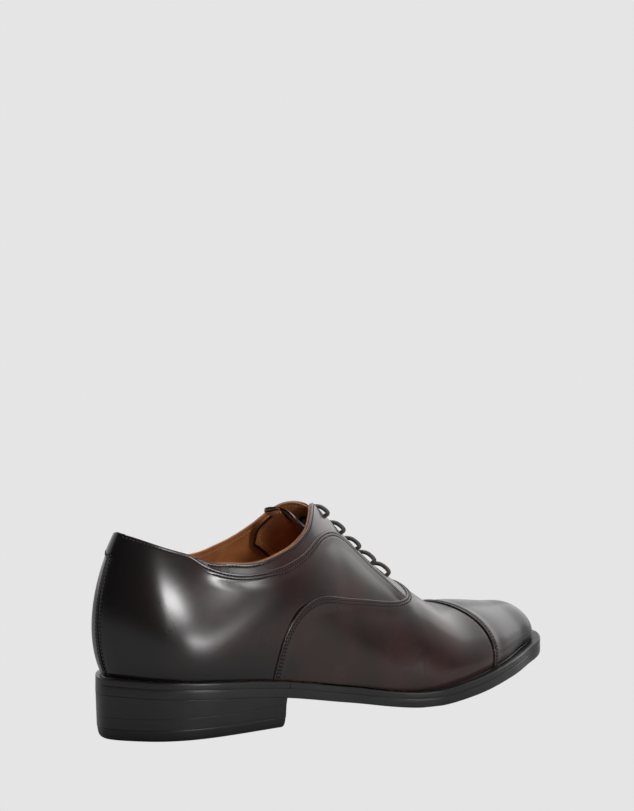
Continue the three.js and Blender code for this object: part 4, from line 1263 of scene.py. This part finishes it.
@dataclass
class Lining:
    """What the foot touches: quarter, heel and vamp linings, the tongue and the sock liner."""

    last: Last
    pattern: Pattern
    shop: Workshop
    stitching: Stitching
    outer: float = 1.25
    thickness: float = 0.95
    stiffener: float = 1.5
    tongue_halves: tuple[tuple[float, float], ...] = (
        (0.34, 0.54), (0.42, 0.53), (0.5, 0.46), (0.58, 0.34), (0.652, 0.26),
    )
    tongue_start: float = 0.384
    tongue_hang: tuple[tuple[float, float], ...] = (
        (-0.52, 0), (-0.45, 1.4), (-0.384, 1.8), (-0.317, 2.8), (-0.249, 5.6), (-0.182, 9.8), (-0.115, 12.6),
        (-0.047, 13.9), (0.02, 14), (0.087, 13.3), (0.155, 13.4), (0.222, 12.6), (0.289, 10.8), (0.357, 7.4),
        (0.424, 3.4), (0.49, -0.5), (0.58, -0.6),
    )
    rib_mm: float = 75
    tongue_end: float = 0.652
    tongue_depth: float = 6.4
    tongue_thickness: float = 1.2

    def depth(self, s: Array, t: Array, top: Array) -> Array:
        """Depth of the lining's outer face, deeper where a stiffener lies behind it."""
        stiff = np.maximum(1 - smooth(s, 0.24, 0.31), smooth(s, 0.74, 0.8))
        return self.outer + self.stiffener * stiff * (1 - smooth(t, top - 0.16, top - 0.03))

    def wall(self, name: str, signed: Array, nodes: list[str]) -> None:
        """Makes a lining wall that reaches from the feather line to the topline.

        Args:
            name: The piece's name.
            signed: Places along it: negative on the outer side.
            nodes: Solids that it replaces.
        """
        s = np.abs(signed)
        side = np.where(signed < 0, -1.0, 1.0)
        tops = np.where(signed < 0, self.pattern.edge_t(-1, s), self.pattern.edge_t(1, s))
        proud = 0.35 - 1.1 * smooth(s, self.pattern.band_start - 0.02, self.pattern.band_start + 0.03)
        room = proud * self.pattern.rib_share(1, s, np.full_like(s, 0.5), 1.0)
        rows = [*np.linspace(0, 0.9, 34), 0.93, 0.955, 0.97, 0.98, 0.987, 0.992, 0.996, 1]
        over, under = [], []
        for v in rows:
            t = self.pattern.base + v * (tops - room - self.pattern.base)
            depth = self.depth(s, t, tops)
            edge = (tops - room - t) / self.pattern.rib_share(1, s, np.full_like(s, 0.5), 1.0)
            over.append(self.last.layer(s, side * (1 - t), -depth))
            under.append(self.last.layer(s, side * (1 - t), -depth - self.thickness + rounded(edge, 0.4)))
        piece = self.shop.sheet(name, np.array(under), np.array(over), LINING)
        settle(piece, LINING, nodes)

    def sew_top(self, side: Side) -> None:
        """Sews the row that shows inside, just below the topline."""
        s = np.linspace(0.01, 0.44, 500)
        top = self.pattern.edge_t(side.value, s)
        ls, lw = self.last.beside(s, side.value * (1 - top), side.value * (FIRST_ROW + 0.5))
        points = self.last.layer(ls, lw, -(self.outer + self.thickness) + 0.04)
        rows = [(points, -self.last.normal(ls, lw))]
        self.stitching.sew(f"lining_stitching_{side.name.lower()}", rows, LINING_THREAD)

    def vamp(self) -> None:
        """Makes the lining of the front."""
        w = np.linspace(-(1 - self.pattern.base), 1 - self.pattern.base, 70)
        seam = self.pattern.vamp_at(1 - np.abs(w)) + self.last.share(2)
        start = eased(np.maximum(self.pattern.lining_seam, seam), 4)
        over, under = [], []
        for q in np.linspace(0, 1, 44):
            s = start + q * (0.995 - start)
            depth = self.depth(s, np.zeros_like(s), np.ones_like(s))
            over.append(self.last.layer(s, w, -depth))
            under.append(self.last.layer(s, w, -depth - self.thickness))
        piece = self.shop.sheet("vamp_lining_leather", np.array(under), np.array(over), LINING)
        settle(piece, LINING, ["vamp_lining"])

    def tongue_lines(self, inset: float, rows: int) -> list[tuple[Array, Array, Array]]:
        """Lines across the tongue, from its rounded top to its sewn end.

        Args:
            inset: Millimetres inside the tongue's edge.
            rows: How many lines.

        Returns:
            The s, the w and the distance from the side edges of each line's points.
        """
        v = np.sin(np.linspace(-1, 1, 64) * math.pi / 2)
        corner = 0.02 * np.clip(-v, 0, 1) ** 6 - 0.024 * smooth(v, 0.1, 1)
        start = self.tongue_start + self.last.share(inset) + corner
        lines = []
        for q in np.linspace(0, 1, rows):
            s = start + q * (self.tongue_end - self.last.share(inset) - start)
            half = through(self.tongue_halves, s) - inset / self.rib_mm
            lines.append((s, v * half + 0.02, (1 - np.abs(v)) * half * self.rib_mm))
        return lines

    def tongue_layer(self, s: Array, w: Array, deeper: Array | float) -> Array:
        """Points of the tongue: it hangs lower than the facings at its free end."""
        hang = through(self.tongue_hang, w) * (1 - smooth(s, 0.385, 0.48))
        climb = smooth(s, 0.615, 0.65) * (self.tongue_depth - 3.6)
        return self.last.layer(s, w, climb - hang - self.tongue_depth - deeper)

    def tongue(self) -> None:
        """Makes the tongue: calf outside, lining inside, its edge showing all round."""
        for name, inset, top, thick, finish in (
            ("tongue_leather", 0, 0, self.tongue_thickness, CALF),
            ("tongue_lining_leather", 0.9, self.tongue_thickness - 0.1, 0.9, LINING),
        ):
            over, under = [], []
            for i, (s, w, inside) in enumerate(self.tongue_lines(inset, 70)):
                fall = rounded(np.minimum(inside, i * 1.1), 0.45)
                over.append(self.tongue_layer(s, w, top + fall))
                under.append(self.tongue_layer(s, w, top + thick - fall))
            node = "tongue" if finish is CALF else "tongue_lining"
            settle(self.shop.sheet(name, np.array(under), np.array(over), finish), finish, [node], FLAP)
        inner = self.tongue_lines(1.2 + FIRST_ROW, 70)
        path = [(s[0], w[0]) for s, w, _ in inner[:50]][::-1]
        path += list(zip(*inner[0][:2]))
        path += [(s[-1], w[-1]) for s, w, _ in inner[:50]]
        s, w = np.array(path).T
        points = self.tongue_layer(s, w, self.tongue_thickness + 0.78)
        self.stitching.sew("tongue_stitching", [(points, -self.last.normal(s, w))], LINING_THREAD, FLAP)

    def floor(self, name: str, inset: float, base: float, thick: float, finish: Finish, node: str) -> None:
        """Makes a plate that lies on the sole, inside the upper.

        Args:
            name: The piece's name.
            inset: How far its edge lies inside the feather line.
            base: Its underside above the feather line.
            thick: Its thickness.
            finish: Its finish.
            node: The solid that it replaces.
        """
        q = (1 - np.cos(np.linspace(0, 1, 110) * math.pi)) / 2
        edges = []
        for side in Side:
            sign = np.full_like(q, side.value)
            edges.append(self.last.feather(sign, q) - self.last.outward(sign, q) * inset)
        over, under = [], []
        for v in (0, 0.004, 0.012, 0.03, *np.linspace(0.07, 0.93, 16), 0.97, 0.988, 0.996, 1):
            plan = edges[0] * (1 - v) + edges[1] * v
            z = self.last.feather_z(plan[:, 0]) + base
            width = np.linalg.norm(edges[0] - edges[1], axis=-1)
            fall = rounded(np.minimum(v, 1 - v) * width, 0.5)
            over.append(np.column_stack([plan, z + thick - fall]))
            under.append(np.column_stack([plan, z]))
        settle(self.shop.sheet(name, np.array(under), np.array(over), finish), finish, [node])

    def build(self) -> None:
        """Makes the linings, the tongue and the floor."""
        edge = self.pattern.heel_lining
        self.wall("heel_lining_leather", np.linspace(-edge, edge, 120), ["heel_lining"])
        for side in Side:
            places = [*np.linspace(edge + 0.001, 0.36, 60), *np.linspace(0.363, 0.46, 60)]
            places += [*np.linspace(0.465, 0.6, 40)]
            name = side.name.lower()
            signed = side.value * np.array(places)
            self.wall(f"quarter_lining_leather_{name}", signed, [f"quarter_lining_{name}"])
            self.sew_top(side)
        self.vamp()
        self.tongue()
        self.floor("insole_board", 5.5, 0.05, 2.6, BOARD, "insole")
        self.floor("sock_liner_leather", 5.0, 2.7, 1.1, LINING, "sock_liner")
        log.info("linings, tongue and sock liner made")


@dataclass
class Lacing:
    """One waxed lace in five straight bars, with its loose ends along the inside."""

    last: Last
    pattern: Pattern
    shop: Workshop
    lace: float = 2.3
    rows: int = 5
    first: float = 0.447
    end: float = 0.588
    set_out: float = 9.5
    deep: float = -5.35
    rise: float = 3.6
    drawn: float = 2.3

    def eyelets(self, side: int) -> list[tuple[float, float]]:
        """Places of one side's eyelets, from the top down."""
        found = []
        for s in np.linspace(self.first, self.end, self.rows):
            at = np.array([s])
            t = 1 - self.pattern.rib_share(side, at, np.array([0.93]), self.set_out)[0]
            found.append((s, t))
        return found

    def at(self, side: int, s: float, t: float, height: float) -> Array:
        """One point above or below the last."""
        return self.last.layer(np.array([s]), np.array([side * (1 - t)]), np.array([height]))[0]

    def lane(self, side: int, eye: tuple[float, float], s: float, mm: float) -> Array:
        """A point of the lace's run under the lining, outside the eyelets."""
        t = eye[1] - self.pattern.rib_share(side, np.array([s]), np.array([eye[1]]), mm)[0]
        return self.at(side, s, t, self.deep)

    def route(self) -> Array:
        """The lace's middle line."""
        eyes = {-1: self.eyelets(-1), 1: self.eyelets(1)}
        side = -1
        low = eyes[side][-1]
        points = [self.lane(side, low, s, 6) for s in (0.478, 0.505, 0.535)]
        for k in range(self.rows - 1, -1, -1):
            near, far = eyes[side][k], eyes[-side][k]
            points += [self.at(side, *near, h) for h in (self.deep + 0.4, -1, 2.1)]
            start, finish = points[-1], self.at(-side, *far, 2.1)
            for q in (0.25, 0.5, 0.75):
                arch = self.rise * math.sin(math.pi * q) ** 0.7
                points.append(start + (finish - start) * q + np.array([0.2, 0, 1.0]) * arch)
            points += [self.at(-side, *far, h) for h in (2.1, -1, self.deep + 0.4)]
            if k:
                between = (far[0] + eyes[-side][k - 1][0]) / 2
                points.append(self.at(-side, between, far[1], self.deep))
            side = -side
        last_eye = eyes[side][0]
        for ahead, mm in ((0.006, 3), (0.018, 6), (0.03, 6)):
            points.append(self.lane(side, last_eye, last_eye[0] + ahead, mm))
        return np.array(points)

    def build(self) -> None:
        """Makes the lace."""
        knots = self.route()
        place = np.concatenate([[0], np.cumsum(np.sqrt(np.linalg.norm(np.diff(knots, axis=0), axis=1)))])
        fine = np.linspace(0, place[-1], 1400)
        path = np.stack([through(list(zip(place, knots[:, k])), fine) for k in range(3)], -1)
        path = evenly(path, 0.5)
        piece = self.shop.tube("lace_braid", path, self.drawn / 2, LACE, 14)
        settle(piece, LACE, ["lace"])
        log.info("lace made, %.0f mm long", arc_lengths(path)[-1])


# ---- the sole and the heel ----


@dataclass
class Bottom:
    """Outsole, welt, heel rand and the stacked heel, their edges set and inked."""

    last: Last
    shop: Workshop
    edge_keys: tuple[tuple[float, float], ...] = (
        (0, 3.1), (0.2, 2.5), (0.35, 2.6), (0.5, 3.8), (0.7, 4.8), (0.9, 5.5), (1, 6.2),
    )
    welt_set: float = 7
    top_lift: float = 5.6
    heel_taper: float = 1
    stack_share: float = 0.62
    corner: float = 3.4
    nail_depth: float = 1.2
    nail_hole: float = 2.25

    def edge(self, s: Array) -> Array:
        """How far the sole stands out beyond the feather line."""
        return through(self.edge_keys, s)

    def stations(self, low: float, high: float, count: int) -> Array:
        """Shares along the feather line, closer together at both ends."""
        return low + (high - low) * (1 - np.cos(np.linspace(0, 1, count) * math.pi)) / 2

    def breast_share(self, side: Side) -> float:
        """Share of the feather line at the front of the heel."""
        s = np.linspace(0.05, 0.95, 4000)
        x = self.last.feather(np.full_like(s, side.value), s)[:, 0]
        return float(np.interp(self.last.heel_length, x, s))

    def rim(self, side: Side, s: Array) -> tuple[Array, Array]:
        """Points of the sole's edge in plan, with their outward directions."""
        sign = np.full_like(s, side.value)
        out = self.last.outward(sign, s)
        return self.last.feather(sign, s) + out * self.edge(s)[:, None], out

    def softness(self, x: Array) -> Array:
        """How round the edges are set: crisp at the heel and waist, rounder at the toe."""
        return 0.2 + 0.8 * smooth(x, 0.62 * self.last.length, 0.86 * self.last.length)

    def inset_at(self, inset, plan: Array) -> Array:
        """An inset at each point in plan, whether it is given as a number or by place."""
        x = plan[:, 0]
        return inset(x) if callable(inset) else np.full_like(x, inset)

    def eased_edge(self, face, corner: list[tuple[float, float]], turn: int) -> list:
        """Rings that round an edge between a wall and a face.

        Args:
            face: Height function of the face.
            corner: Inset and distance from the face of each ring at full roundness.
            turn: 1 when the wall lies above the face, -1 when it lies below.

        Returns:
            Inset and height functions of the rings.
        """
        def ring(inset: float, rise: float) -> tuple:
            def inward(x: Array) -> Array:
                return inset * self.softness(x)

            def height(x: Array) -> Array:
                return face(x) + turn * rise * self.softness(x)

            return (inward, height)

        return [ring(inset, rise) for inset, rise in corner]

    def block(
        self, name: str, rims: list, profile: list, finish: Finish, nodes: list[str]
    ) -> bpy.types.Object:
        """Makes a solid from rings stacked on an outline.

        Args:
            name: The piece's name.
            rims: Points and outward directions of the outer and of the inner side, heel to front.
            profile: Inset and height function of each ring, from the middle of the underside up.
            finish: The finish.
            nodes: Solids that it replaces.

        Returns:
            The piece.
        """
        (outer, outer_out), (inner, inner_out) = rims
        plan = np.vstack([outer, inner[::-1]])
        out = np.vstack([outer_out, inner_out[::-1]])
        n, total = len(outer), len(plan)
        rings = []
        for inset, height in profile:
            p = plan - out * self.inset_at(inset, plan)[:, None]
            rings.append(np.column_stack([p, height(p[:, 0])]))
        points = np.vstack(rings)
        faces = []
        for r in range(len(rings) - 1):
            for j in range(total):
                a, b = r * total + j, r * total + (j + 1) % total
                faces.append([a, b, b + total, a + total])
        for r, turn in ((0, -1), (len(rings) - 1, 1)):
            for i in range(n - 1):
                quad = [i, i + 1, total - 2 - i, total - 1 - i]
                faces.append([r * total + v for v in quad][::turn])
        piece = self.shop.piece(name, points, faces, finish, 40)
        return settle(piece, finish, nodes)

    def outsole(self) -> None:
        """Makes the outsole with its rounded edge and a shallow channel under the seam."""
        s = self.stations(0, 1, 170)
        rims = [self.rim(side, s) for side in Side]
        under, over = self.last.underside, self.last.outsole_top
        profile = [(9, under), (5.6, under), (5.2, lambda x: under(x) + 0.25), (4.8, under)]
        profile += self.eased_edge(under, [(1.6, 0), (0.9, 0.12), (0.4, 0.4), (0.12, 0.9), (0, 1.6)], 1)
        profile += [(0, lambda x, q=q: under(x) * (1 - q) + over(x) * q) for q in (0.38, 0.62)]
        profile += self.eased_edge(over, [(0, 0.6), (0.1, 0.25), (0.35, 0.02), (0.9, -0.05)], -1)
        profile += [(9, lambda x: over(x) + 0.03)]
        piece = self.block("outsole_leather", rims, profile, SOLE_EDGE, ["outsole"])
        piece.data.materials.append(SOLE_TREAD.material())
        for polygon in piece.data.polygons:
            if polygon.normal.z < -0.85:
                polygon.material_index = 1

    def ribbon(
        self, name: str, path: Array, out: Array, profile: list, finish: Finish, nodes: list[str]
    ) -> None:
        """Sweeps a closed section along an open path.

        Args:
            name: The piece's name.
            path: Points in plan.
            out: Outward directions at them.
            profile: Inset and height function of each corner of the section, going round it.
            finish: The finish.
            nodes: Solids that it replaces.
        """
        grid = []
        for inset, height in profile:
            p = path - out * self.inset_at(inset, path)[:, None]
            grid.append(np.column_stack([p, height(p[:, 0])]))
        grid = np.array(grid).transpose(1, 0, 2)
        n, k = grid.shape[:2]
        ids = np.arange(n * k).reshape(n, k)
        faces = []
        for i in range(n - 1):
            for j in range(k):
                m = (j + 1) % k
                faces.append([int(v) for v in (ids[i, j], ids[i + 1, j], ids[i + 1, m], ids[i, m])])
        faces += [[int(v) for v in ids[0]], [int(v) for v in ids[-1][::-1]]]
        settle(self.shop.piece(name, grid.reshape(-1, 3), faces, finish, 40), finish, nodes)

    def band_section(self, bottom, top) -> list:
        """The rounded section of the welt and of the heel rand."""
        def beside(mm: float):
            return lambda x: self.edge(x / self.last.length) + mm

        section = [(self.welt_set, bottom)]
        section += self.eased_edge(bottom, [(0.9, 0), (0.35, 0.06), (0.08, 0.3), (0, 0.7)], 1)
        section += [(0, lambda x, q=q: bottom(x) * (1 - q) + top(x) * q) for q in (0.4, 0.6)]
        section += self.eased_edge(top, [(0, 0.8), (0.1, 0.45), (0.35, 0.15), (0.75, 0.02)], -1)
        section += [(beside(-1.1), top), (beside(-0.5), lambda x: top(x) - 0.45)]
        section += [(beside(-0.15), lambda x: top(x) - 0.45), (beside(0.1), lambda x: top(x) - 0.02)]
        section += [(self.welt_set, lambda x: top(x) - 0.02)]
        return section

    def welt_and_rand(self) -> None:
        """Makes the welt round the forepart and the rand round the heel."""
        ends = {side: self.breast_share(side) for side in Side}

        def bottom(x: Array) -> Array:
            towards_toe = smooth(x, 0.62 * self.last.length, 0.86 * self.last.length)
            return self.last.outsole_top(x) + 0.03 + 0.09 * towards_toe

        def top(x: Array) -> Array:
            return self.last.feather_z(x) - 0.02

        tip = [self.rim(side, self.stations(ends[side], 1, 130)) for side in Side]
        path = np.vstack([tip[0][0], tip[1][0][::-1][1:]])
        out = np.vstack([tip[0][1], tip[1][1][::-1][1:]])
        self.ribbon("welt_leather", path, out, self.band_section(bottom, top), SOLE_EDGE, ["welt"])
        heel = [self.rim(side, self.stations(0, ends[side] - self.last.share(0.3), 70)) for side in Side]
        path = np.vstack([heel[0][0][::-1], heel[1][0][1:]])
        out = np.vstack([heel[0][1][::-1], heel[1][1][1:]])
        self.ribbon("heel_rand_leather", path, out, self.band_section(bottom, top), SOLE_EDGE, ["heel_rand"])

    def heel_rims(self) -> list[tuple[Array, Array]]:
        """The heel's outline in plan: both sides, each ending in a small rounded corner."""
        rims = []
        for side in Side:
            points, out = self.rim(side, self.stations(0, self.breast_share(side), 80))
            keep = points[:, 0] < self.last.heel_length - self.corner
            points, out = points[keep], out[keep]
            behind = self.last.heel_length - self.corner
            centre = np.array([behind, points[-1, 1] - side.value * self.corner])
            angle = np.linspace(0, math.pi / 2, 9)[1:]
            turn = np.column_stack([np.sin(angle), side.value * np.cos(angle)])
            rims.append((np.vstack([points, centre + turn * self.corner]), np.vstack([out, turn])))
        return rims

    def layer_profile(self, low, high, soft: float = 0.02) -> list:
        """Rings of one layer of the stack, tapered towards the ground."""
        def inset(z: float) -> float:
            return self.heel_taper * (1 - z / self.last.heel_height)

        def ring(inward: float, at, lift: float) -> tuple:
            z = float(at(np.array([20.0]))[0]) + lift
            return (inset(z) + inward, lambda x: at(x) + lift)

        falls = ((3, 0), (soft * 1.6, 0), (soft * 0.4, soft * 0.5), (0, soft * 1.5), (0, 0.3))
        rings = [ring(inward, low, lift) for inward, lift in falls]
        rings += [ring(inward, high, -lift) for inward, lift in reversed(falls)]
        return rings

    def heel(self) -> None:
        """Makes the wedge, the lift and the rubber top lift."""
        rims = self.heel_rims()
        breast = float(self.last.underside(np.array([self.last.heel_length]))[0])
        split = self.top_lift + 0.3 + self.stack_share * (breast - self.top_lift - 0.6)

        def level(z: float):
            return lambda x: np.full_like(np.asarray(x, float), z)

        def wedge_top(x: Array) -> Array:
            return self.last.underside(x) - 0.03

        wedge = self.layer_profile(level(split + 0.04), wedge_top)
        self.block("heel_wedge_leather", rims, wedge, SOLE_EDGE, ["heel_wedge"])
        lift = self.layer_profile(level(self.top_lift + 0.04), level(split))
        self.block("heel_lift_leather", rims, lift, SOLE_EDGE, ["heel_lift"])
        taper = self.heel_taper
        falls = ((3, 0), (2.4, 0), (1.75, 0.12), (1.2, 0.45), (0.75, 1.0), (0.4, 1.9), (0.16, 3.0), (0.04, 4.2))
        profile = [(taper + inset, level(z)) for inset, z in falls]
        shoulder = taper * (1 - self.top_lift / self.last.heel_height)
        profile += [(shoulder, level(self.top_lift - 0.3)), (shoulder + 0.1, level(self.top_lift - 0.05))]
        profile += [(shoulder + 0.4, level(self.top_lift)), (3, level(self.top_lift))]
        self.drill(self.block("top_lift_rubber", rims, profile, RUBBER, ["top_lift"]))

    def drill(self, lift: bpy.types.Object) -> None:
        """Opens the top lift over the nail heads."""
        cutters = bmesh.new()
        for name in [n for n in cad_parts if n.startswith("heel_nail")]:
            low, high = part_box(name)
            spot = Matrix.Translation(((low.x + high.x) / 2, (low.y + high.y) / 2, 0))
            radius = self.nail_hole * MM
            bmesh.ops.create_cone(cutters, cap_ends=True, segments=28, radius1=radius, radius2=radius,
                                  depth=2 * self.nail_depth * MM, matrix=spot)
        mesh = bpy.data.meshes.new("nail_holes")
        cutters.to_mesh(mesh)
        cutters.free()
        tool = bpy.data.objects.new("nail_holes", mesh)
        bpy.context.scene.collection.objects.link(tool)
        cut = lift.modifiers.new("holes", "BOOLEAN")
        cut.object, cut.operation, cut.solver = tool, "DIFFERENCE", "EXACT"
        with bpy.context.temp_override(object=lift, active_object=lift):
            bpy.ops.object.modifier_apply(modifier=cut.name)
        bpy.data.objects.remove(tool)

    def build(self) -> None:
        """Makes the sole and the heel."""
        self.outsole()
        self.welt_and_rand()
        self.heel()
        log.info("outsole, welt, rand and heel made")


# ---- the solids that stay ----


def dress_solids() -> None:
    """Gives the solids that no piece replaces their finishes."""
    finishes = {
        "heel_counter": BOARD, "toe_puff": BOARD, "seat_filler": BOARD, "cork_filler": CORK, "shank": STEEL,
        "aglet_outer": AGLET, "aglet_inner": AGLET,
    }
    for name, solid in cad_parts.items():
        finish = finishes.get(name)
        if name.startswith("eyelet"):
            finish = EYELET
        if name.startswith("heel_nail"):
            finish = BRASS
        if finish is None:
            continue
        solid.data.materials.clear()
        solid.data.materials.append(finish.material())
    log.info("hidden solids dressed")


# ---- the studio ----


@dataclass
class SoftBox:
    """A studio light: a lit panel aimed at a point of the shoe."""

    name: str
    place: tuple[float, float, float]
    target: tuple[float, float, float]
    size: tuple[float, float]
    power: float
    mirrored: bool = True

    def build(self) -> None:
        """Hangs the light."""
        lamp = bpy.data.lights.new(self.name, "AREA")
        lamp.shape = "RECTANGLE"
        lamp.size, lamp.size_y = self.size
        lamp.energy = self.power
        made = bpy.data.objects.new(self.name, lamp)
        made.visible_glossy = self.mirrored
        made.location = self.place
        aim = Vector(self.target) - Vector(self.place)
        made.rotation_euler = aim.to_track_quat("-Z", "Y").to_euler()
        bpy.context.scene.collection.objects.link(made)


@dataclass
class Studio:
    """Pale floor, even light and the camera."""

    paper: str = "e5e5e5"
    floor_tone: str = "a0a0a0"
    room: float = 0.9
    room_behind: float = 0.05
    camera_place: tuple[float, float, float] = (-0.59952, -0.6633, 0.17399)
    azimuth: float = -41.6256
    elevation: float = 1.0356
    roll: float = 0.3398
    lens: float = 74.2585
    lights: tuple[SoftBox, ...] = (
        SoftBox("key_box", (-0.9, -1.3, 1.5), (0, 0, 0.05), (1.4, 1.4), 5, False),
        SoftBox("fill_box", (1.2, -1.1, 1.3), (0, 0, 0.05), (1.2, 1.2), 3.5, False),
        SoftBox("top_box", (0.2, 0.4, 1.9), (0, 0, 0.05), (1.6, 1.6), 18),
        SoftBox("side_box", (-0.045, -1.41, 0.6), (-0.12, -0.03, 0.06), (0.4, 0.24), 7),
        SoftBox("low_strip", (0.23, -1.49, 0.16), (-0.11, -0.03, 0.05), (0.34, 0.1), 2.1),
        SoftBox("front_box", (1.7, 0.35, 0.85), (0.1, 0, 0.04), (1.3, 0.9), 2.2),
    )

    def floor(self) -> None:
        """Lays the paper."""
        mesh = bpy.data.meshes.new("studio_paper")
        half = 6.0
        corners = [(-half, -half, 0), (half, -half, 0), (half, half, 0), (-half, half, 0)]
        mesh.from_pydata(corners, [], [(0, 1, 2, 3)])
        paper = bpy.data.materials.new("paper_matt")
        paper.use_nodes = True
        tree = paper.node_tree
        matt = tree.nodes["Principled BSDF"]
        matt.inputs["Base Color"].default_value = linear(self.floor_tone)
        matt.inputs["Roughness"].default_value = 1.0
        matt.inputs["Specular IOR Level"].default_value = 0.0
        glow = add(tree, "Emission", {"Color": linear(self.paper), "Strength": 1.0}).outputs[0]
        seen = add(tree, "LightPath").outputs["Is Camera Ray"]
        both = add(tree, "MixShader", {0: seen, 1: matt.outputs[0], 2: glow})
        tree.links.new(both.outputs[0], tree.nodes["Material Output"].inputs["Surface"])
        mesh.materials.append(paper)
        made = bpy.data.objects.new("studio_paper", mesh)
        bpy.context.scene.collection.objects.link(made)

    def camera(self) -> None:
        """Stands the camera behind the outer side of the heel."""
        data = bpy.data.cameras.new("camera")
        data.lens, data.sensor_width, data.sensor_fit = self.lens, 36, "AUTO"
        data.clip_start, data.clip_end = 0.05, 50
        made = bpy.data.objects.new("camera", data)
        a, e = math.radians(self.azimuth), math.radians(self.elevation)
        back = Vector((math.sin(a) * math.cos(e), -math.cos(a) * math.cos(e), math.sin(e)))
        tilt = Matrix.Rotation(math.radians(self.roll), 3, "Z")
        turn = (-back).to_track_quat("-Z", "Y").to_matrix() @ tilt
        made.location = self.camera_place
        made.rotation_euler = turn.to_euler()
        bpy.context.scene.collection.objects.link(made)
        bpy.context.scene.camera = made

    def build(self) -> None:
        """Sets the room's light, the floor, the lights and the camera."""
        world = bpy.data.worlds.new("studio")
        world.use_nodes = True
        tree = world.node_tree
        sky = tree.nodes["Background"]
        sky.inputs["Color"].default_value = linear(self.paper)
        a = math.radians(self.azimuth)
        ahead = (-math.sin(a), math.cos(a), 0.35)
        ray = add(tree, "TexCoord").outputs["Generated"]
        facing = add(tree, "VectorMath", {0: ray, 1: ahead}, operation="DOT_PRODUCT")
        links = {"Value": facing.outputs["Value"], "From Min": -0.1, "From Max": 0.75}
        links.update({"To Min": self.room_behind, "To Max": self.room})
        shade = add(tree, "MapRange", links).outputs[0]
        seen = add(tree, "LightPath").outputs["Is Camera Ray"]
        strength = add(tree, "Mix", {0: seen, 2: shade, 3: 1.0}).outputs[0]
        tree.links.new(strength, sky.inputs["Strength"])
        bpy.context.scene.world = world
        bpy.context.scene.view_settings.view_transform = "Standard"
        self.floor()
        self.camera()
        for light in self.lights:
            light.build()
        log.info("studio set")


def main() -> None:
    """Builds the shoe and the studio."""
    logging.basicConfig(level=logging.INFO, format="%(name)s: %(message)s")
    last = Last()
    pattern = Pattern(last)
    bottom = Bottom(last, Workshop(np.zeros(3)))
    s = bottom.stations(0, 1, 400)
    outer, inner = (bottom.rim(side, s)[0] for side in Side)
    low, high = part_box("outsole")
    shift = np.array([outer[:, 0].min() - low.x / MM, (outer[:, 1].min() + inner[:, 1].max()) / 2, 0])
    shop = Workshop(shift)
    bottom.shop = shop
    stitching = Stitching(last, shop)
    Studio().build()
    Upper(last, pattern, shop, stitching).build()
    Lining(last, pattern, shop, stitching).build()
    Lacing(last, pattern, shop).build()
    bottom.build()
    dress_solids()


if __name__ == "__main__":
    main()
